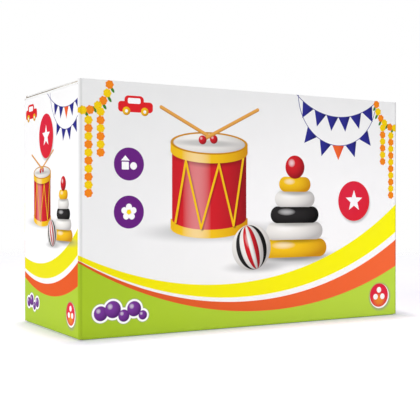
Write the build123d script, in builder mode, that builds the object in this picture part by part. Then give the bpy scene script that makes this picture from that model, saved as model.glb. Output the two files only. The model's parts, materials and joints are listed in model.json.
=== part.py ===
"""Tuck-top retail carton of fluted board: a glued sleeve, a sealed bottom and a lid that tucks in.

Frame: +X along the front, -Y out of the front, +Z up.
The origin is on the floor, at the middle of the bottom. Units are millimetres.
"""

from build123d import *
from math import cos, radians, sin, tan
import os

os.makedirs("parts", exist_ok=True)

# Overall size, outside
width = 360.0
depth = 148.0
height = 226.0

# The board and its creases
board = 1.8
fold_radius = 3.0
crease_skin = 0.7
crease_gap = 0.2
rest_gap = 0.3

# The sleeve
front_edge_drop = 0.4
corner_foot = 0.8
corner_relief = 0.5
seam_relief = 1.5
glue_flap_width = 30.0
glue_flap_end = 10.0
glue_flap_taper = 12.0

# The lid and its tuck tab
lid_side_relief = 1.0
lid_front_taper = 3.0
lid_straight_length = 75.0
tab_clearance = 0.8
tab_length = 28.0
tab_inset = 14.0
tab_lean = 12.0
tab_corner = 16.0

# The dust flaps under the lid
dust_flap_length = 75.0
dust_flap_mitre = 36.0
dust_flap_shoulder = 10.0
dust_flap_setback = 9.0
dust_flap_taper = 8.0
dust_flap_corner = 8.0

# The sealed bottom
outer_flap_inset = 17.0
ramp_length = 12.0
end_flap_length = 75.0
end_flap_taper = 6.0
back_flap_depth = 50.0
bottom_flap_clearance = 1.0
bottom_flap_corner = 6.0

# Places worked out from the sizes
half_width = width / 2
half_depth = depth / 2
fold_x = half_width - fold_radius
fold_y = half_depth - fold_radius
front_top = height - front_edge_drop
back_top = height - fold_radius - crease_gap
dust_flap_top = height - board - rest_gap
end_top = dust_flap_top - fold_radius - crease_gap
crease_half_x = fold_x - corner_relief
crease_half_y = fold_y - corner_relief
tab_fold_y = -half_depth + board + tab_clearance
tab_half_width = half_width - tab_inset
lid_half_width = half_width - lid_side_relief
lid_front = tab_fold_y + fold_radius

# Start angle of a quarter bend, by the two ways its corner points in the section's own plane
QUARTER_START = {(1, 1): 0, (-1, 1): 90, (-1, -1): 180, (1, -1): 270}
QUARTER = 90


def bend_section(centre, corner, radius, thickness, sweep=QUARTER):
    """Section of a bend in the board: a ring sector about the bend's centre, a quarter unless told."""
    start = QUARTER_START[corner]
    with BuildSketch() as section:
        with BuildLine():
            outer = CenterArc(centre, radius, start, sweep)
            inner = CenterArc(centre, radius - thickness, start, sweep)
            Line(outer @ 0, inner @ 0)
            Line(outer @ 1, inner @ 1)
        make_face()
    return section.sketch


def ramp_section(sign, fold, tip):
    """Section of an inner bottom flap: up a ramp from its fold on the floor, then flat to its tip."""
    ramp_end = sign * (fold - ramp_length)
    with BuildSketch() as section:
        with BuildLine():
            Polyline(
                (sign * fold, 0),
                (ramp_end, board),
                (sign * tip, board),
                (sign * tip, 2 * board),
                (ramp_end, 2 * board),
                (sign * fold, board),
                close=True,
            )
        make_face()
    return section.sketch


def write(piece, name):
    """Labels a finished piece and writes it to its own file."""
    piece.part.label = name
    export_step(piece.part, f"parts/{name}.step")


# Front wall, with an upright corner fold on each side
with BuildPart() as front_panel:
    with BuildSketch(Plane.XY.offset(fold_radius)):
        with Locations((0, -half_depth + board / 2)):
            Rectangle(2 * fold_x, board)
    extrude(amount=front_top - fold_radius)
    with BuildSketch(Plane.XY.offset(corner_foot)):
        add(bend_section((-fold_x, -fold_y), (-1, -1), fold_radius, board))
        add(bend_section((fold_x, -fold_y), (1, -1), fold_radius, board))
    extrude(amount=front_top - corner_foot)
write(front_panel, "front_panel")

# Back wall: a fold on the left, and a cut edge over the glued seam on the right
with BuildPart() as back_panel:
    seam_edge = half_width - seam_relief
    with BuildSketch(Plane.XY.offset(fold_radius)):
        with Locations(((seam_edge - fold_x) / 2, half_depth - board / 2)):
            Rectangle(seam_edge + fold_x, board)
    extrude(amount=back_top - fold_radius)
    with BuildSketch(Plane.XY.offset(corner_foot)):
        add(bend_section((-fold_x, fold_y), (-1, 1), fold_radius, board))
    extrude(amount=back_top - corner_foot)
write(back_panel, "back_panel")

# Glue flap: folded off the right end and glued inside the back wall, its ends cut at a slant
seam_fold_y = fold_y - board
with BuildPart() as glue_flap:
    with BuildSketch(Plane.XY.offset(corner_foot)):
        add(bend_section((fold_x, seam_fold_y), (1, 1), fold_radius, board))
    extrude(amount=end_top - corner_foot)
    flap_bottom = fold_radius + glue_flap_end
    flap_top = end_top - glue_flap_end
    flap_edge = fold_x - glue_flap_width
    with BuildSketch(Plane.XZ.offset(board - half_depth)):
        with BuildLine():
            Polyline(
                (fold_x, flap_bottom),
                (fold_x, flap_top),
                (flap_edge, flap_top - glue_flap_taper),
                (flap_edge, flap_bottom + glue_flap_taper),
                close=True,
            )
        make_face()
    extrude(amount=board)
write(glue_flap, "glue_flap")

# Lid: hinged along the back wall and narrowing to its front, with a thinned bend at each crease
tuck_radius = fold_radius * tan(radians((QUARTER - tab_lean) / 2))
lid_front_half_width = lid_half_width - lid_front_taper
taper_start = fold_y - lid_straight_length
with BuildPart() as lid:
    with BuildSketch(Plane.XY.offset(height - board)):
        with BuildLine():
            Polyline(
                (-lid_half_width, fold_y),
                (-lid_half_width, taper_start),
                (-lid_front_half_width, lid_front),
                (lid_front_half_width, lid_front),
                (lid_half_width, taper_start),
                (lid_half_width, fold_y),
                close=True,
            )
        make_face()
    extrude(amount=board)
    with BuildSketch(Plane.YZ.offset(-lid_half_width)):
        add(bend_section((fold_y, height - fold_radius), (1, 1), fold_radius, crease_skin))
    extrude(amount=2 * lid_half_width)
    with BuildSketch(Plane.YZ.offset(-tab_half_width)):
        tuck_centre = (lid_front, height - tuck_radius)
        add(bend_section(tuck_centre, (-1, 1), tuck_radius, crease_skin, QUARTER + tab_lean))
    extrude(amount=2 * tab_half_width)
write(lid, "lid")

# Tuck tab: folded down behind the front wall and leaning in, with two round corners
lean = radians(tab_lean)
tab_face = Plane(
    origin=(0, tab_fold_y, height),
    x_dir=(1, 0, 0),
    z_dir=(0, -cos(lean), -sin(lean)),
)
with BuildPart() as tuck_tab:
    with BuildSketch(tab_face) as tab_outline:
        tab_start = fold_radius + crease_gap
        with Locations((0, -(tab_start + tab_length) / 2)):
            Rectangle(2 * tab_half_width, tab_length - tab_start)
        fillet(tab_outline.vertices().group_by(Axis.Y)[0], radius=tab_corner)
    extrude(amount=-board)
write(tuck_tab, "tuck_tab")

for side in ("left", "right"):
    # End wall: the left one reaches both corner folds, the right one stops at the seam's fold
    sign = -1 if side == "left" else 1
    rear_edge = fold_y if side == "left" else seam_fold_y
    crease_rear = rear_edge - corner_relief
    crease_length = crease_rear + crease_half_y
    with BuildPart() as end_panel:
        with BuildSketch(Plane.XY.offset(fold_radius)):
            with Locations((sign * (half_width - board / 2), (rear_edge - fold_y) / 2)):
                Rectangle(board, rear_edge + fold_y)
        extrude(amount=end_top - fold_radius)
    write(end_panel, f"{side}_end_panel")

    # Dust flap: mitred beside the lid's hinge, and stepped back beside the tuck tab
    reach = dust_flap_length - fold_radius
    tip_x = sign * (half_width - dust_flap_length)
    step_x = sign * (half_width - dust_flap_shoulder)
    tip_rear = crease_rear - reach * tan(radians(dust_flap_mitre))
    step_front = dust_flap_setback - half_depth
    past_step = dust_flap_length - dust_flap_shoulder
    tip_front = step_front + past_step * tan(radians(dust_flap_taper))
    with BuildPart() as dust_flap:
        with BuildSketch(Plane.XY.offset(dust_flap_top - board)) as flap_outline:
            with BuildLine():
                Polyline(
                    (sign * fold_x, crease_rear),
                    (tip_x, tip_rear),
                    (tip_x, tip_front),
                    (step_x, step_front),
                    (step_x, -crease_half_y),
                    (sign * fold_x, -crease_half_y),
                    close=True,
                )
            make_face()
            tip = flap_outline.vertices().group_by(Axis.X)[0 if sign > 0 else -1]
            fillet(tip, radius=dust_flap_corner)
        extrude(amount=board)
        with BuildSketch(Plane.XZ.offset(-crease_rear)):
            bend_centre = (sign * fold_x, dust_flap_top - fold_radius)
            add(bend_section(bend_centre, (sign, 1), fold_radius, crease_skin))
        extrude(amount=crease_length)
    write(dust_flap, f"{side}_dust_flap")

    # Bottom end flap: mitred beside the back flap, and beside the outer flap's corner in front
    mitre_x = sign * (half_width - back_flap_depth)
    mitre_y = half_depth - back_flap_depth - bottom_flap_clearance
    flap_tip = half_width - end_flap_length
    front_mitre = outer_flap_inset - fold_radius
    flap_shoulder = front_mitre - crease_half_y
    flap_front = flap_shoulder + (end_flap_length - outer_flap_inset) * tan(radians(end_flap_taper))
    with BuildPart() as bottom_end_flap:
        with BuildSketch() as flap_outline:
            with BuildLine():
                Polyline(
                    (sign * fold_x, rear_edge - bottom_flap_clearance),
                    (mitre_x, mitre_y),
                    (sign * flap_tip, mitre_y),
                    (sign * flap_tip, flap_front),
                    (sign * (fold_x - front_mitre), flap_shoulder),
                    (sign * fold_x, -crease_half_y),
                    close=True,
                )
            make_face()
            tip = flap_outline.vertices().group_by(Axis.X)[0 if sign > 0 else -1]
            fillet(tip, radius=bottom_flap_corner)
        extrude(amount=2 * board)
        with BuildSketch(Plane.XZ.offset(-crease_rear)):
            add(ramp_section(sign, fold_x, flap_tip))
        extrude(amount=crease_length, mode=Mode.INTERSECT)
        with BuildSketch(Plane.XZ.offset(-crease_rear)):
            add(bend_section((sign * fold_x, fold_radius), (sign, -1), fold_radius, board))
        extrude(amount=crease_length)
    write(bottom_end_flap, f"bottom_{side}_flap")

# Bottom back flap: folded off the back wall, between the end flaps
with BuildPart() as bottom_back_flap:
    near_x = fold_x - bottom_flap_clearance
    far_x = half_width - back_flap_depth - bottom_flap_clearance
    free_edge = half_depth - back_flap_depth
    with BuildSketch() as flap_outline:
        with BuildLine():
            Polyline(
                (-near_x, fold_y),
                (near_x, fold_y),
                (far_x, free_edge),
                (-far_x, free_edge),
                close=True,
            )
        make_face()
        fillet(flap_outline.vertices().group_by(Axis.Y)[0], radius=bottom_flap_corner)
    extrude(amount=2 * board)
    with BuildSketch(Plane.YZ.offset(-half_width)):
        add(ramp_section(1, fold_y, free_edge))
    extrude(amount=width, mode=Mode.INTERSECT)
    with BuildSketch(Plane.YZ.offset(-crease_half_x)):
        add(bend_section((fold_y, fold_radius), (1, -1), fold_radius, board))
    extrude(amount=2 * crease_half_x)
write(bottom_back_flap, "bottom_back_flap")

# Bottom front flap: folded off the front wall and glued under the other three, clear of their folds
with BuildPart() as bottom_front_flap:
    side_edge = half_width - outer_flap_inset
    rear_edge = half_depth - outer_flap_inset
    shoulder = crease_half_x - side_edge - fold_y
    with BuildSketch():
        with BuildLine():
            Polyline(
                (-crease_half_x, -fold_y),
                (crease_half_x, -fold_y),
                (side_edge, shoulder),
                (side_edge, rear_edge),
                (-side_edge, rear_edge),
                (-side_edge, shoulder),
                close=True,
            )
        make_face()
    extrude(amount=board)
    with BuildSketch(Plane.YZ.offset(-crease_half_x)):
        add(bend_section((-fold_y, fold_radius), (-1, -1), fold_radius, board))
    extrude(amount=2 * crease_half_x)
write(bottom_front_flap, "bottom_front_flap")
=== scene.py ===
# %% [markdown]
# # A printed carton of fluted board
# The object is a retail toy carton, folded and glued from one flat blank of fine fluted board.
# Its folded form is loaded as a fixed frame, and this lesson dresses it with paper: each panel gets a
# printed face, a wavy core and a brown inner liner, and each crease that opens gets a thin strip that bends.
# One solid box with a picture on it would be quicker, but its edges, flaps and creases would look cut from
# clay.

# %% Load the folded carton
import json
import math

import bmesh
import bpy
from mathutils import Vector
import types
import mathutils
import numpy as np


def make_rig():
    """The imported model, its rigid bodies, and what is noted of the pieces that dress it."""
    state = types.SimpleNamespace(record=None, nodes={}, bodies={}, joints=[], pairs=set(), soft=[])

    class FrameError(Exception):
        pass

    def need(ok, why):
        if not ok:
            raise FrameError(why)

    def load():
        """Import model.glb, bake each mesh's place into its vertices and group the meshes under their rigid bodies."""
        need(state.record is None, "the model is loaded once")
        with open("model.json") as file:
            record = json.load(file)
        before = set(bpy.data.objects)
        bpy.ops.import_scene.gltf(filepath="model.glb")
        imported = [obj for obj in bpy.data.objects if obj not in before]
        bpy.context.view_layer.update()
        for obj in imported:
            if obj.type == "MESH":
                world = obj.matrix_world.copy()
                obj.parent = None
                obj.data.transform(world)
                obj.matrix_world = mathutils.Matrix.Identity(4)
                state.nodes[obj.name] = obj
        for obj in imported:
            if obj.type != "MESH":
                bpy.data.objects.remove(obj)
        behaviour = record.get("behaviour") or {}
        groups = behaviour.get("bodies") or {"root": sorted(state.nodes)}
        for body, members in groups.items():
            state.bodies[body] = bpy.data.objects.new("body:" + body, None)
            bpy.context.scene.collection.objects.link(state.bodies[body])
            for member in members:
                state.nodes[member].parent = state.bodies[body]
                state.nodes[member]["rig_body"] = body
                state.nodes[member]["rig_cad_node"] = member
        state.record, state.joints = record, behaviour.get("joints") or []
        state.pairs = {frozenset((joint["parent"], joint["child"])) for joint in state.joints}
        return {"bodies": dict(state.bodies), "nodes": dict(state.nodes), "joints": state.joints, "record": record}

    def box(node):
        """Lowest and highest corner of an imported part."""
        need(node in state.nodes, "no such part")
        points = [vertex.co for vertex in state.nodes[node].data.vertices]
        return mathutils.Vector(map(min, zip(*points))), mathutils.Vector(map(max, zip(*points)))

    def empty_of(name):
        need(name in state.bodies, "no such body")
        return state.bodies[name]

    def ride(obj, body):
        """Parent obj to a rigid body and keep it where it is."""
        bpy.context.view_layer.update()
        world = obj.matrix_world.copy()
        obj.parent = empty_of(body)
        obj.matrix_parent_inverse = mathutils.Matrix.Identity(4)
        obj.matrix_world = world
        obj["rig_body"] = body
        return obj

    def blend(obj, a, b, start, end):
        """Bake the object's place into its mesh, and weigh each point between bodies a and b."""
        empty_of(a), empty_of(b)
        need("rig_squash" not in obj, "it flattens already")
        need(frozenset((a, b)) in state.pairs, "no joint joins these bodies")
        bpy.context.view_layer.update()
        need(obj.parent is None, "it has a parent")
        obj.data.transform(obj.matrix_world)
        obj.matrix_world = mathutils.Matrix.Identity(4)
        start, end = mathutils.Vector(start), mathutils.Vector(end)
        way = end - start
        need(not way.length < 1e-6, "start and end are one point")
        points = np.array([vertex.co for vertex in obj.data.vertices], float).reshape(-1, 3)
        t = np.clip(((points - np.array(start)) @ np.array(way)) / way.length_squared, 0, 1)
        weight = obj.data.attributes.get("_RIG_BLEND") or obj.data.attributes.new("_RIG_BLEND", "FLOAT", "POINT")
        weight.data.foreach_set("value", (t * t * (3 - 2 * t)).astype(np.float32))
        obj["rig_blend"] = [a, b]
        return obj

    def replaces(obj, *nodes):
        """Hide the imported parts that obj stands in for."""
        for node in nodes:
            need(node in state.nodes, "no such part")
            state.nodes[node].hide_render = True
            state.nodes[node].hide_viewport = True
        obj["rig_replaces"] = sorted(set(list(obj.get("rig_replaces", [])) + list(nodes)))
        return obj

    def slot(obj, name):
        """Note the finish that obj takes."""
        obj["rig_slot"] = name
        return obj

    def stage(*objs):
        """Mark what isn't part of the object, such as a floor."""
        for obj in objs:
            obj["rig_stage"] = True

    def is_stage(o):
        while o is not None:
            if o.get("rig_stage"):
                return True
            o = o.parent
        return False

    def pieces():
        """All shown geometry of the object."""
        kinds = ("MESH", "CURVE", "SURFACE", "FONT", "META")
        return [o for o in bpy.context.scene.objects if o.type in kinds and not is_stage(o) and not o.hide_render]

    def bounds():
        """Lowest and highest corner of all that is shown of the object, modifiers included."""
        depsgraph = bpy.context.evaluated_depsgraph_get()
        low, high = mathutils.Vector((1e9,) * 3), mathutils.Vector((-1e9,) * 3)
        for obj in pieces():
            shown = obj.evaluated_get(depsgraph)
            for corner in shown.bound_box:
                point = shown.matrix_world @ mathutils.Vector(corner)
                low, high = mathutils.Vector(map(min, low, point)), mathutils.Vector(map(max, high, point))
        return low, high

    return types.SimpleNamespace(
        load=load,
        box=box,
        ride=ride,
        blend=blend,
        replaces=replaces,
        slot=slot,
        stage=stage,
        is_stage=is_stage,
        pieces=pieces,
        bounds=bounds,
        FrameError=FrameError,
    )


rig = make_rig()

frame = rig.load()
cad_low, cad_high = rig.bounds()
bpy.ops.object.select_all(action="DESELECT")
print("loaded", len(frame["nodes"]), "nodes on", len(frame["bodies"]), "bodies")

# %% [markdown]
# ## The camera
# The carton was photographed from its left front corner, level with its middle, so that all upright edges
# stay upright. A camera could be aimed with a constraint, but a place, a turn and a tilt are enough and can
# be read at a glance.

# %% Set up the camera
# the place in metres, the turn and the tilt in degrees, the lens in millimetres
CAMERA_PLACE = (-0.4596, -0.7793, 0.1168)
CAMERA_TURN = 30.14
CAMERA_TILT = 0.34
CAMERA_LENS = 74.98

bpy.ops.object.camera_add(
    location=CAMERA_PLACE,
    rotation=(math.radians(90 - CAMERA_TILT), 0, math.radians(-CAMERA_TURN)),
)
camera = bpy.context.object
camera.data.lens = CAMERA_LENS
bpy.context.scene.camera = camera
print("camera at", CAMERA_PLACE)

# %% [markdown]
# ## Nodes in code
# Every finish in this lesson is a tree of shader nodes. In the shader editor each node is added and linked
# by hand. Here a helper adds a node, sets what it does and links its inputs, so that a tree can be read
# line by line.

# %% Helpers for a node tree
def wire(tree, socket, value):
    """Links a socket to another one, or sets its value."""
    if isinstance(value, bpy.types.NodeSocket):
        tree.links.new(value, socket)
    else:
        socket.default_value = value


def add_node(tree, kind, *terms, **settings):
    """Adds a node with its settings and wires its first inputs in order."""
    node = tree.nodes.new("ShaderNode" + kind)
    for setting, value in settings.items():
        setattr(node, setting, value)
    for socket, term in zip(node.inputs, terms):
        wire(tree, socket, term)
    return node


def start_material(name):
    """A new material with its tree and its shader."""
    material = bpy.data.materials.new(name)
    material.use_nodes = True
    return material, material.node_tree, material.node_tree.nodes["Principled BSDF"]


print("node helpers ready")

# %% [markdown]
# ## The studio
# A white floor, a white sky and large soft lamps make the plain light of a product picture.
# The floor fades into the sky far from the carton, and is clear from below, so that the bottom can be looked
# at too. Its faint violet glow makes up for the green light that the walls throw into the shadow, which
# would tint it.
# Two broad lamps light the walls. A smaller one hangs high behind the carton and leaves a narrow shadow at
# its foot. All lamps are a little warm, so that the walls stay neutral beside that glow.
# The sky is brighter to the camera than to the surfaces, as a white wall far behind the lamps would be.

# %% Lay the floor
FLOOR_DROP = 0.0003
FLOOR_SIZE = 6
FLOOR_FADE = (0.5, 1.6)
FLOOR_WHITE = (0.97, 0.97, 0.97, 1)
FLOOR_ROUGHNESS = 0.9
FLOOR_GLOW = (0.12, 0.1, 0.21, 1)

bpy.ops.mesh.primitive_plane_add(size=FLOOR_SIZE, location=(0, 0, -FLOOR_DROP))
floor = bpy.context.object
floor.name = "floor"
floor_paint, tree, shader = start_material("floor paint")
shader.inputs["Base Color"].default_value = FLOOR_WHITE
shader.inputs["Roughness"].default_value = FLOOR_ROUGHNESS
shader.inputs["Emission Color"].default_value = FLOOR_GLOW
shader.inputs["Emission Strength"].default_value = 1.0
point = add_node(tree, "NewGeometry").outputs
reach = add_node(tree, "VectorMath", point["Position"], operation="LENGTH").outputs["Value"]
fade = add_node(tree, "MapRange", reach, *FLOOR_FADE, interpolation_type="SMOOTHSTEP").outputs["Result"]
gone = add_node(tree, "Math", fade, point["Backfacing"], operation="MAXIMUM").outputs["Value"]
clear = add_node(tree, "BsdfTransparent").outputs["BSDF"]
mix = add_node(tree, "MixShader", gone, shader.outputs["BSDF"], clear)
wire(tree, tree.nodes["Material Output"].inputs["Surface"], mix.outputs["Shader"])
floor.data.materials.append(floor_paint)
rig.stage(floor)
print("floor", FLOOR_SIZE, "m wide")

# %% Hang the lamps
LAMP_TARGET = Vector((0, 0, 0.11))
LAMP_COLOUR = (1, 1, 0.965)
LAMPS = {
    # name: place, size in metres, power in watts
    "left lamp": ((-2.6, -0.7, 1.1), 1.6, 42),
    "front lamp": ((0.9, -2.6, 1.2), 1.8, 28),
    "top lamp": ((-0.05, 0.19, 3.0), 0.4, 40),
    "rear lamp": ((1.4, 2.4, 1.8), 2.2, 20),
}

for name, (place, size, power) in LAMPS.items():
    bpy.ops.object.light_add(type="AREA", location=place)
    lamp = bpy.context.object
    lamp.name = name
    lamp.data.size = size
    lamp.data.energy = power
    lamp.data.color = LAMP_COLOUR
    lamp.rotation_euler = (LAMP_TARGET - lamp.location).to_track_quat("-Z", "Y").to_euler()
print("lamps:", ", ".join(LAMPS))

# %% Paint the sky
SKY_WHITE = (1, 1, 1, 1)
SKY_STRENGTH = 0.22

sky = bpy.data.worlds.new("white sky")
bpy.context.scene.world = sky
sky.use_nodes = True
tree = sky.node_tree
fill = tree.nodes["Background"]
fill.inputs["Color"].default_value = SKY_WHITE
fill.inputs["Strength"].default_value = SKY_STRENGTH
far_wall = add_node(tree, "Background", SKY_WHITE)
to_camera = add_node(tree, "LightPath").outputs["Is Camera Ray"]
mix = add_node(tree, "MixShader", to_camera, fill.outputs["Background"], far_wall.outputs["Background"])
wire(tree, tree.nodes["World Output"].inputs["Surface"], mix.outputs["Shader"])
bpy.context.scene.view_settings.view_transform = "Standard"
print("sky of strength", SKY_STRENGTH)

# %% [markdown]
# ## The board's sizes
# Every panel is 1.8 mm of board: two paper liners with a fluted core between them.
# The outside sizes, the board and the fold radius are measured on the frame. Only the paper itself is new.

# %% Measure the frame
MM = 0.001
TOUCH = 0.02 * MM
LINER = 0.35 * MM
FLUTE_PAPER = 0.2 * MM
FLUTE_PITCH = 3.2 * MM
FLUTE_STEPS = 8
FOLD_STEPS = 8

end_low, end_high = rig.box("left_end_panel")
front_low, front_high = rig.box("front_panel")
HALF_WIDTH = cad_high.x
HALF_DEPTH = cad_high.y
HEIGHT = cad_high.z
BOARD = end_high.x - end_low.x
FOLD = HALF_DEPTH + end_low.y
FOLD_X = HALF_WIDTH - FOLD
FOLD_Y = HALF_DEPTH - FOLD
CORE = BOARD - 2 * LINER
CORNER_FOOT = front_low.z
FRONT_TOP = front_high.z
END_TOP = end_high.z
BACK_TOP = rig.box("back_panel")[1].z
SEAM_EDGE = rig.box("back_panel")[1].x
SEAM_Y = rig.box("right_end_panel")[1].y
print("board", round(BOARD / MM, 2), "mm, fold radius", round(FOLD / MM, 2), "mm")

# %% [markdown]
# ## Working on a flat sheet
# A carton is cut flat, so each sheet of paper is drawn flat too, in the blank's own plane: u across, v up,
# and the outside facing up. It is then creased at its edges and stood up in its place by one turn.
# Drawing it in place would need a new set of axes for each wall. Points and faces are picked in code, by
# where they are. A cut clears faces and no points, because the next face may need those.

# %% Helpers for a flat sheet
FACING = {
    "front": (90, 0, 0),
    "back": (90, 0, 180),
    "left": (90, 0, -90),
    "right": (90, 0, 90),
    "top": (0, 0, 0),
    "bottom": (180, 0, 0),
}


def apply_place():
    """Moves the place, the turn and the scale of the object into its mesh."""
    bpy.ops.object.transform_apply(location=True, rotation=True, scale=True)


def open_sheet(name, edges, papers, level=0.0):
    """Adds a flat sheet between its left, right, low and high edges, and opens it for editing."""
    left, right, low, high = edges
    bpy.ops.object.select_all(action="DESELECT")
    middle = ((left + right) / 2, (low + high) / 2, level)
    bpy.ops.mesh.primitive_plane_add(size=1, location=middle)
    sheet = bpy.context.object
    sheet.name = name
    sheet.scale = (right - left, high - low, 1)
    apply_place()
    for paper in papers:
        sheet.data.materials.append(paper)
    bpy.ops.object.mode_set(mode="EDIT")


def pick(test):
    """Selects the open mesh's points that pass the test, with the edges and faces between them."""
    bpy.ops.mesh.select_mode(type="VERT")
    mesh = bmesh.from_edit_mesh(bpy.context.object.data)
    for point in mesh.verts:
        point.select = test(point.co)
    mesh.select_flush_mode()
    bmesh.update_edit_mesh(bpy.context.object.data)


def pick_faces(test):
    """Selects the open mesh's faces whose middles pass the test."""
    bpy.ops.mesh.select_mode(type="FACE")
    mesh = bmesh.from_edit_mesh(bpy.context.object.data)
    for face in mesh.faces:
        face.select = test(face.calc_center_median())
    bmesh.update_edit_mesh(bpy.context.object.data)


def everywhere(place):
    """Passes every point."""
    return True


def score(point, normal, only=everywhere):
    """Cuts a line of points across the open mesh, or across a part of it, and clears nothing."""
    pick(only)
    bpy.ops.mesh.bisect(plane_co=(*point, 0), plane_no=(*normal, 0))


def trim(point, normal, only=everywhere):
    """Cuts the open mesh along a straight line and clears the faces that lie beyond it."""
    score(point, normal, only)
    line, outward = Vector((*point, 0)), Vector((*normal, 0))
    pick_faces(lambda middle: only(middle) and (middle - line).dot(outward) > 0)
    bpy.ops.mesh.delete(type="FACE")


print("sheets stand up", ", ".join(FACING))

# %% [markdown]
# ## Creases
# Board bends round a small radius where it is creased, so a folded edge is a quarter of a round, or half of
# that. A bevel on a box would round it too, but the sheet would lose its thickness there.
# Spin rolls the picked edge round the fold's centre, which lies one fold radius behind the face. A line of
# points scored close beside the fold keeps the smooth shading of the round off the flat part.

# %% Helpers for folding and closing a sheet
ROLL_AXIS = {"left": (0, 1, 0), "right": (0, -1, 0), "low": (-1, 0, 0), "high": (1, 0, 0)}
SUPPORT = 0.6 * MM
SMOOTH_ANGLE = 35


def fold_back(side, edge, degrees, level=0.0, radius=FOLD, steps=FOLD_STEPS):
    """Rolls one straight edge of the open sheet back round its crease."""
    way = 0 if side in ("left", "right") else 1
    inward = SUPPORT if side in ("left", "low") else -SUPPORT
    line = [0, 0]
    line[way] = edge + inward
    score(line, (1 - way, way))
    pick(lambda place: abs(place[way] - edge) < TOUCH and abs(place.z - level) < TOUCH)
    centre = [0, 0, -radius]
    centre[way] = edge
    bpy.ops.mesh.spin(
        steps=steps,
        angle=math.radians(degrees),
        center=centre,
        axis=ROLL_AXIS[side],
    )


def extrude_by(step):
    """Pulls a new strip out of the picked edges."""
    bpy.ops.mesh.extrude_region_move(TRANSFORM_OT_translate={"value": step})


def face_up():
    """Makes all faces of the open sheet agree, and turns them over if most of them look down."""
    bpy.ops.mesh.select_all(action="SELECT")
    bpy.ops.mesh.remove_doubles(threshold=TOUCH)
    bpy.ops.mesh.normals_make_consistent(inside=False)
    mesh = bmesh.from_edit_mesh(bpy.context.object.data)
    looks_up = sum(face.normal.z * face.calc_area() for face in mesh.faces)
    if looks_up < 0:
        bpy.ops.mesh.flip_normals()


def thicken(paper, offset=-1.0):
    """Gives the sheet the paper's thickness, with its inner side and its cut edges in the second paper."""
    bpy.ops.object.mode_set(mode="OBJECT")
    sheet = bpy.context.object
    wall = sheet.modifiers.new("paper", "SOLIDIFY")
    wall.thickness = paper
    wall.offset = offset
    wall.use_even_offset = True
    wall.material_offset = 1
    wall.material_offset_rim = 1
    bpy.ops.object.modifier_apply(modifier=wall.name)
    return sheet


def stand_up(sheet, facing, origin=(0, 0, 0)):
    """Turns the flat sheet to its wall and sets it in its place."""
    bpy.ops.object.select_all(action="DESELECT")
    sheet.select_set(True)
    bpy.context.view_layer.objects.active = sheet
    turn = FACING[facing] if isinstance(facing, str) else facing
    sheet.rotation_euler = [math.radians(angle) for angle in turn]
    sheet.location = origin
    apply_place()
    bpy.ops.object.shade_smooth_by_angle(angle=math.radians(SMOOTH_ANGLE))
    return sheet


print("fold with", FOLD_STEPS, "steps")

# %% [markdown]
# ## The fluted core
# Between the liners runs a wave of paper with a pitch of about 3 mm. It shows wherever the board is cut.
# One flute is shaped from a narrow grid, repeated by an array across the panel, trimmed to the panel's
# outline and given its thickness. Modelling every flute by hand would give the same mesh with far more work.

# %% Helper for the core of a panel
def flat_outline():
    """Leaves the outline a plain rectangle."""


def make_flute(length, kraft):
    """One flute about the origin, from crest to crest."""
    bpy.ops.object.select_all(action="DESELECT")
    bpy.ops.mesh.primitive_grid_add(x_subdivisions=FLUTE_STEPS, y_subdivisions=1, size=1)
    flute = bpy.context.object
    flute.name = "core"
    flute.data.materials.append(kraft)
    flute.scale = (FLUTE_PITCH, length, 1)
    apply_place()
    bpy.ops.object.mode_set(mode="EDIT")
    rise = (CORE - FLUTE_PAPER) / 2
    for step in range(FLUTE_STEPS + 1):
        column = (step / FLUTE_STEPS - 0.5) * FLUTE_PITCH
        pick(lambda place: abs(place.x - column) < TOUCH)
        lift = rise * math.cos(2 * math.pi * step / FLUTE_STEPS)
        bpy.ops.transform.translate(value=(0, 0, lift))
    bpy.ops.object.mode_set(mode="OBJECT")
    return flute


def fluted_core(edges, kraft, along="v", shape=flat_outline):
    """Makes the wavy core of a flat panel; the flutes run along v, or along u."""
    left, right, low, high = edges
    wide, tall = (right - left, high - low) if along == "v" else (high - low, right - left)
    core = make_flute(tall, kraft)
    flutes = math.ceil(wide / FLUTE_PITCH)
    row = core.modifiers.new("row of flutes", "ARRAY")
    row.count = flutes
    row.use_relative_offset = False
    row.use_constant_offset = True
    row.constant_offset_displace = (FLUTE_PITCH, 0, 0)
    row.use_merge_vertices = True
    row.merge_threshold = TOUCH
    bpy.ops.object.modifier_apply(modifier=row.name)
    core.location.x = -(flutes - 1) * FLUTE_PITCH / 2
    apply_place()
    if along == "u":
        core.rotation_euler.z = math.radians(90)
    core.location = ((left + right) / 2, (low + high) / 2, -BOARD / 2)
    apply_place()
    bpy.ops.object.mode_set(mode="EDIT")
    trim((left, 0), (-1, 0))
    trim((right, 0), (1, 0))
    trim((0, low), (0, -1))
    trim((0, high), (0, 1))
    shape()
    return thicken(FLUTE_PAPER, offset=0.0)


print("one flute is", round(FLUTE_PITCH / MM, 1), "mm wide")

# %% [markdown]
# ## Brown board
# The core and the inside are recycled kraft paper: a grey brown with long pale and dark fibres, and a faint
# washboard where the liner is glued to the flutes.
# A flat brown would look like plastic. Two noises, one of them stretched, make the fibres and the clouds,
# and a wave in the bump makes the ridges.
# The paper's own look is a shader node group, because the printed faces are made of paper too.

# %% Helpers for colours, sums and groups
FLOAT = "NodeSocketFloat"
VECTOR = "NodeSocketVector"
COLOR = "NodeSocketColor"
# the sockets of a mix node that mixes colours
MIX_UNDER = 6
MIX_OVER = 7
MIX_RESULT = 2


def ink_colour(code):
    """Linear colour from the usual six letters and digits."""
    parts = [int(code[start:start + 2], 16) / 255 for start in (0, 2, 4)]
    linear = [part / 12.92 if part <= 0.04045 else ((part + 0.055) / 1.055) ** 2.4 for part in parts]
    return (*linear, 1)


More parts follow.
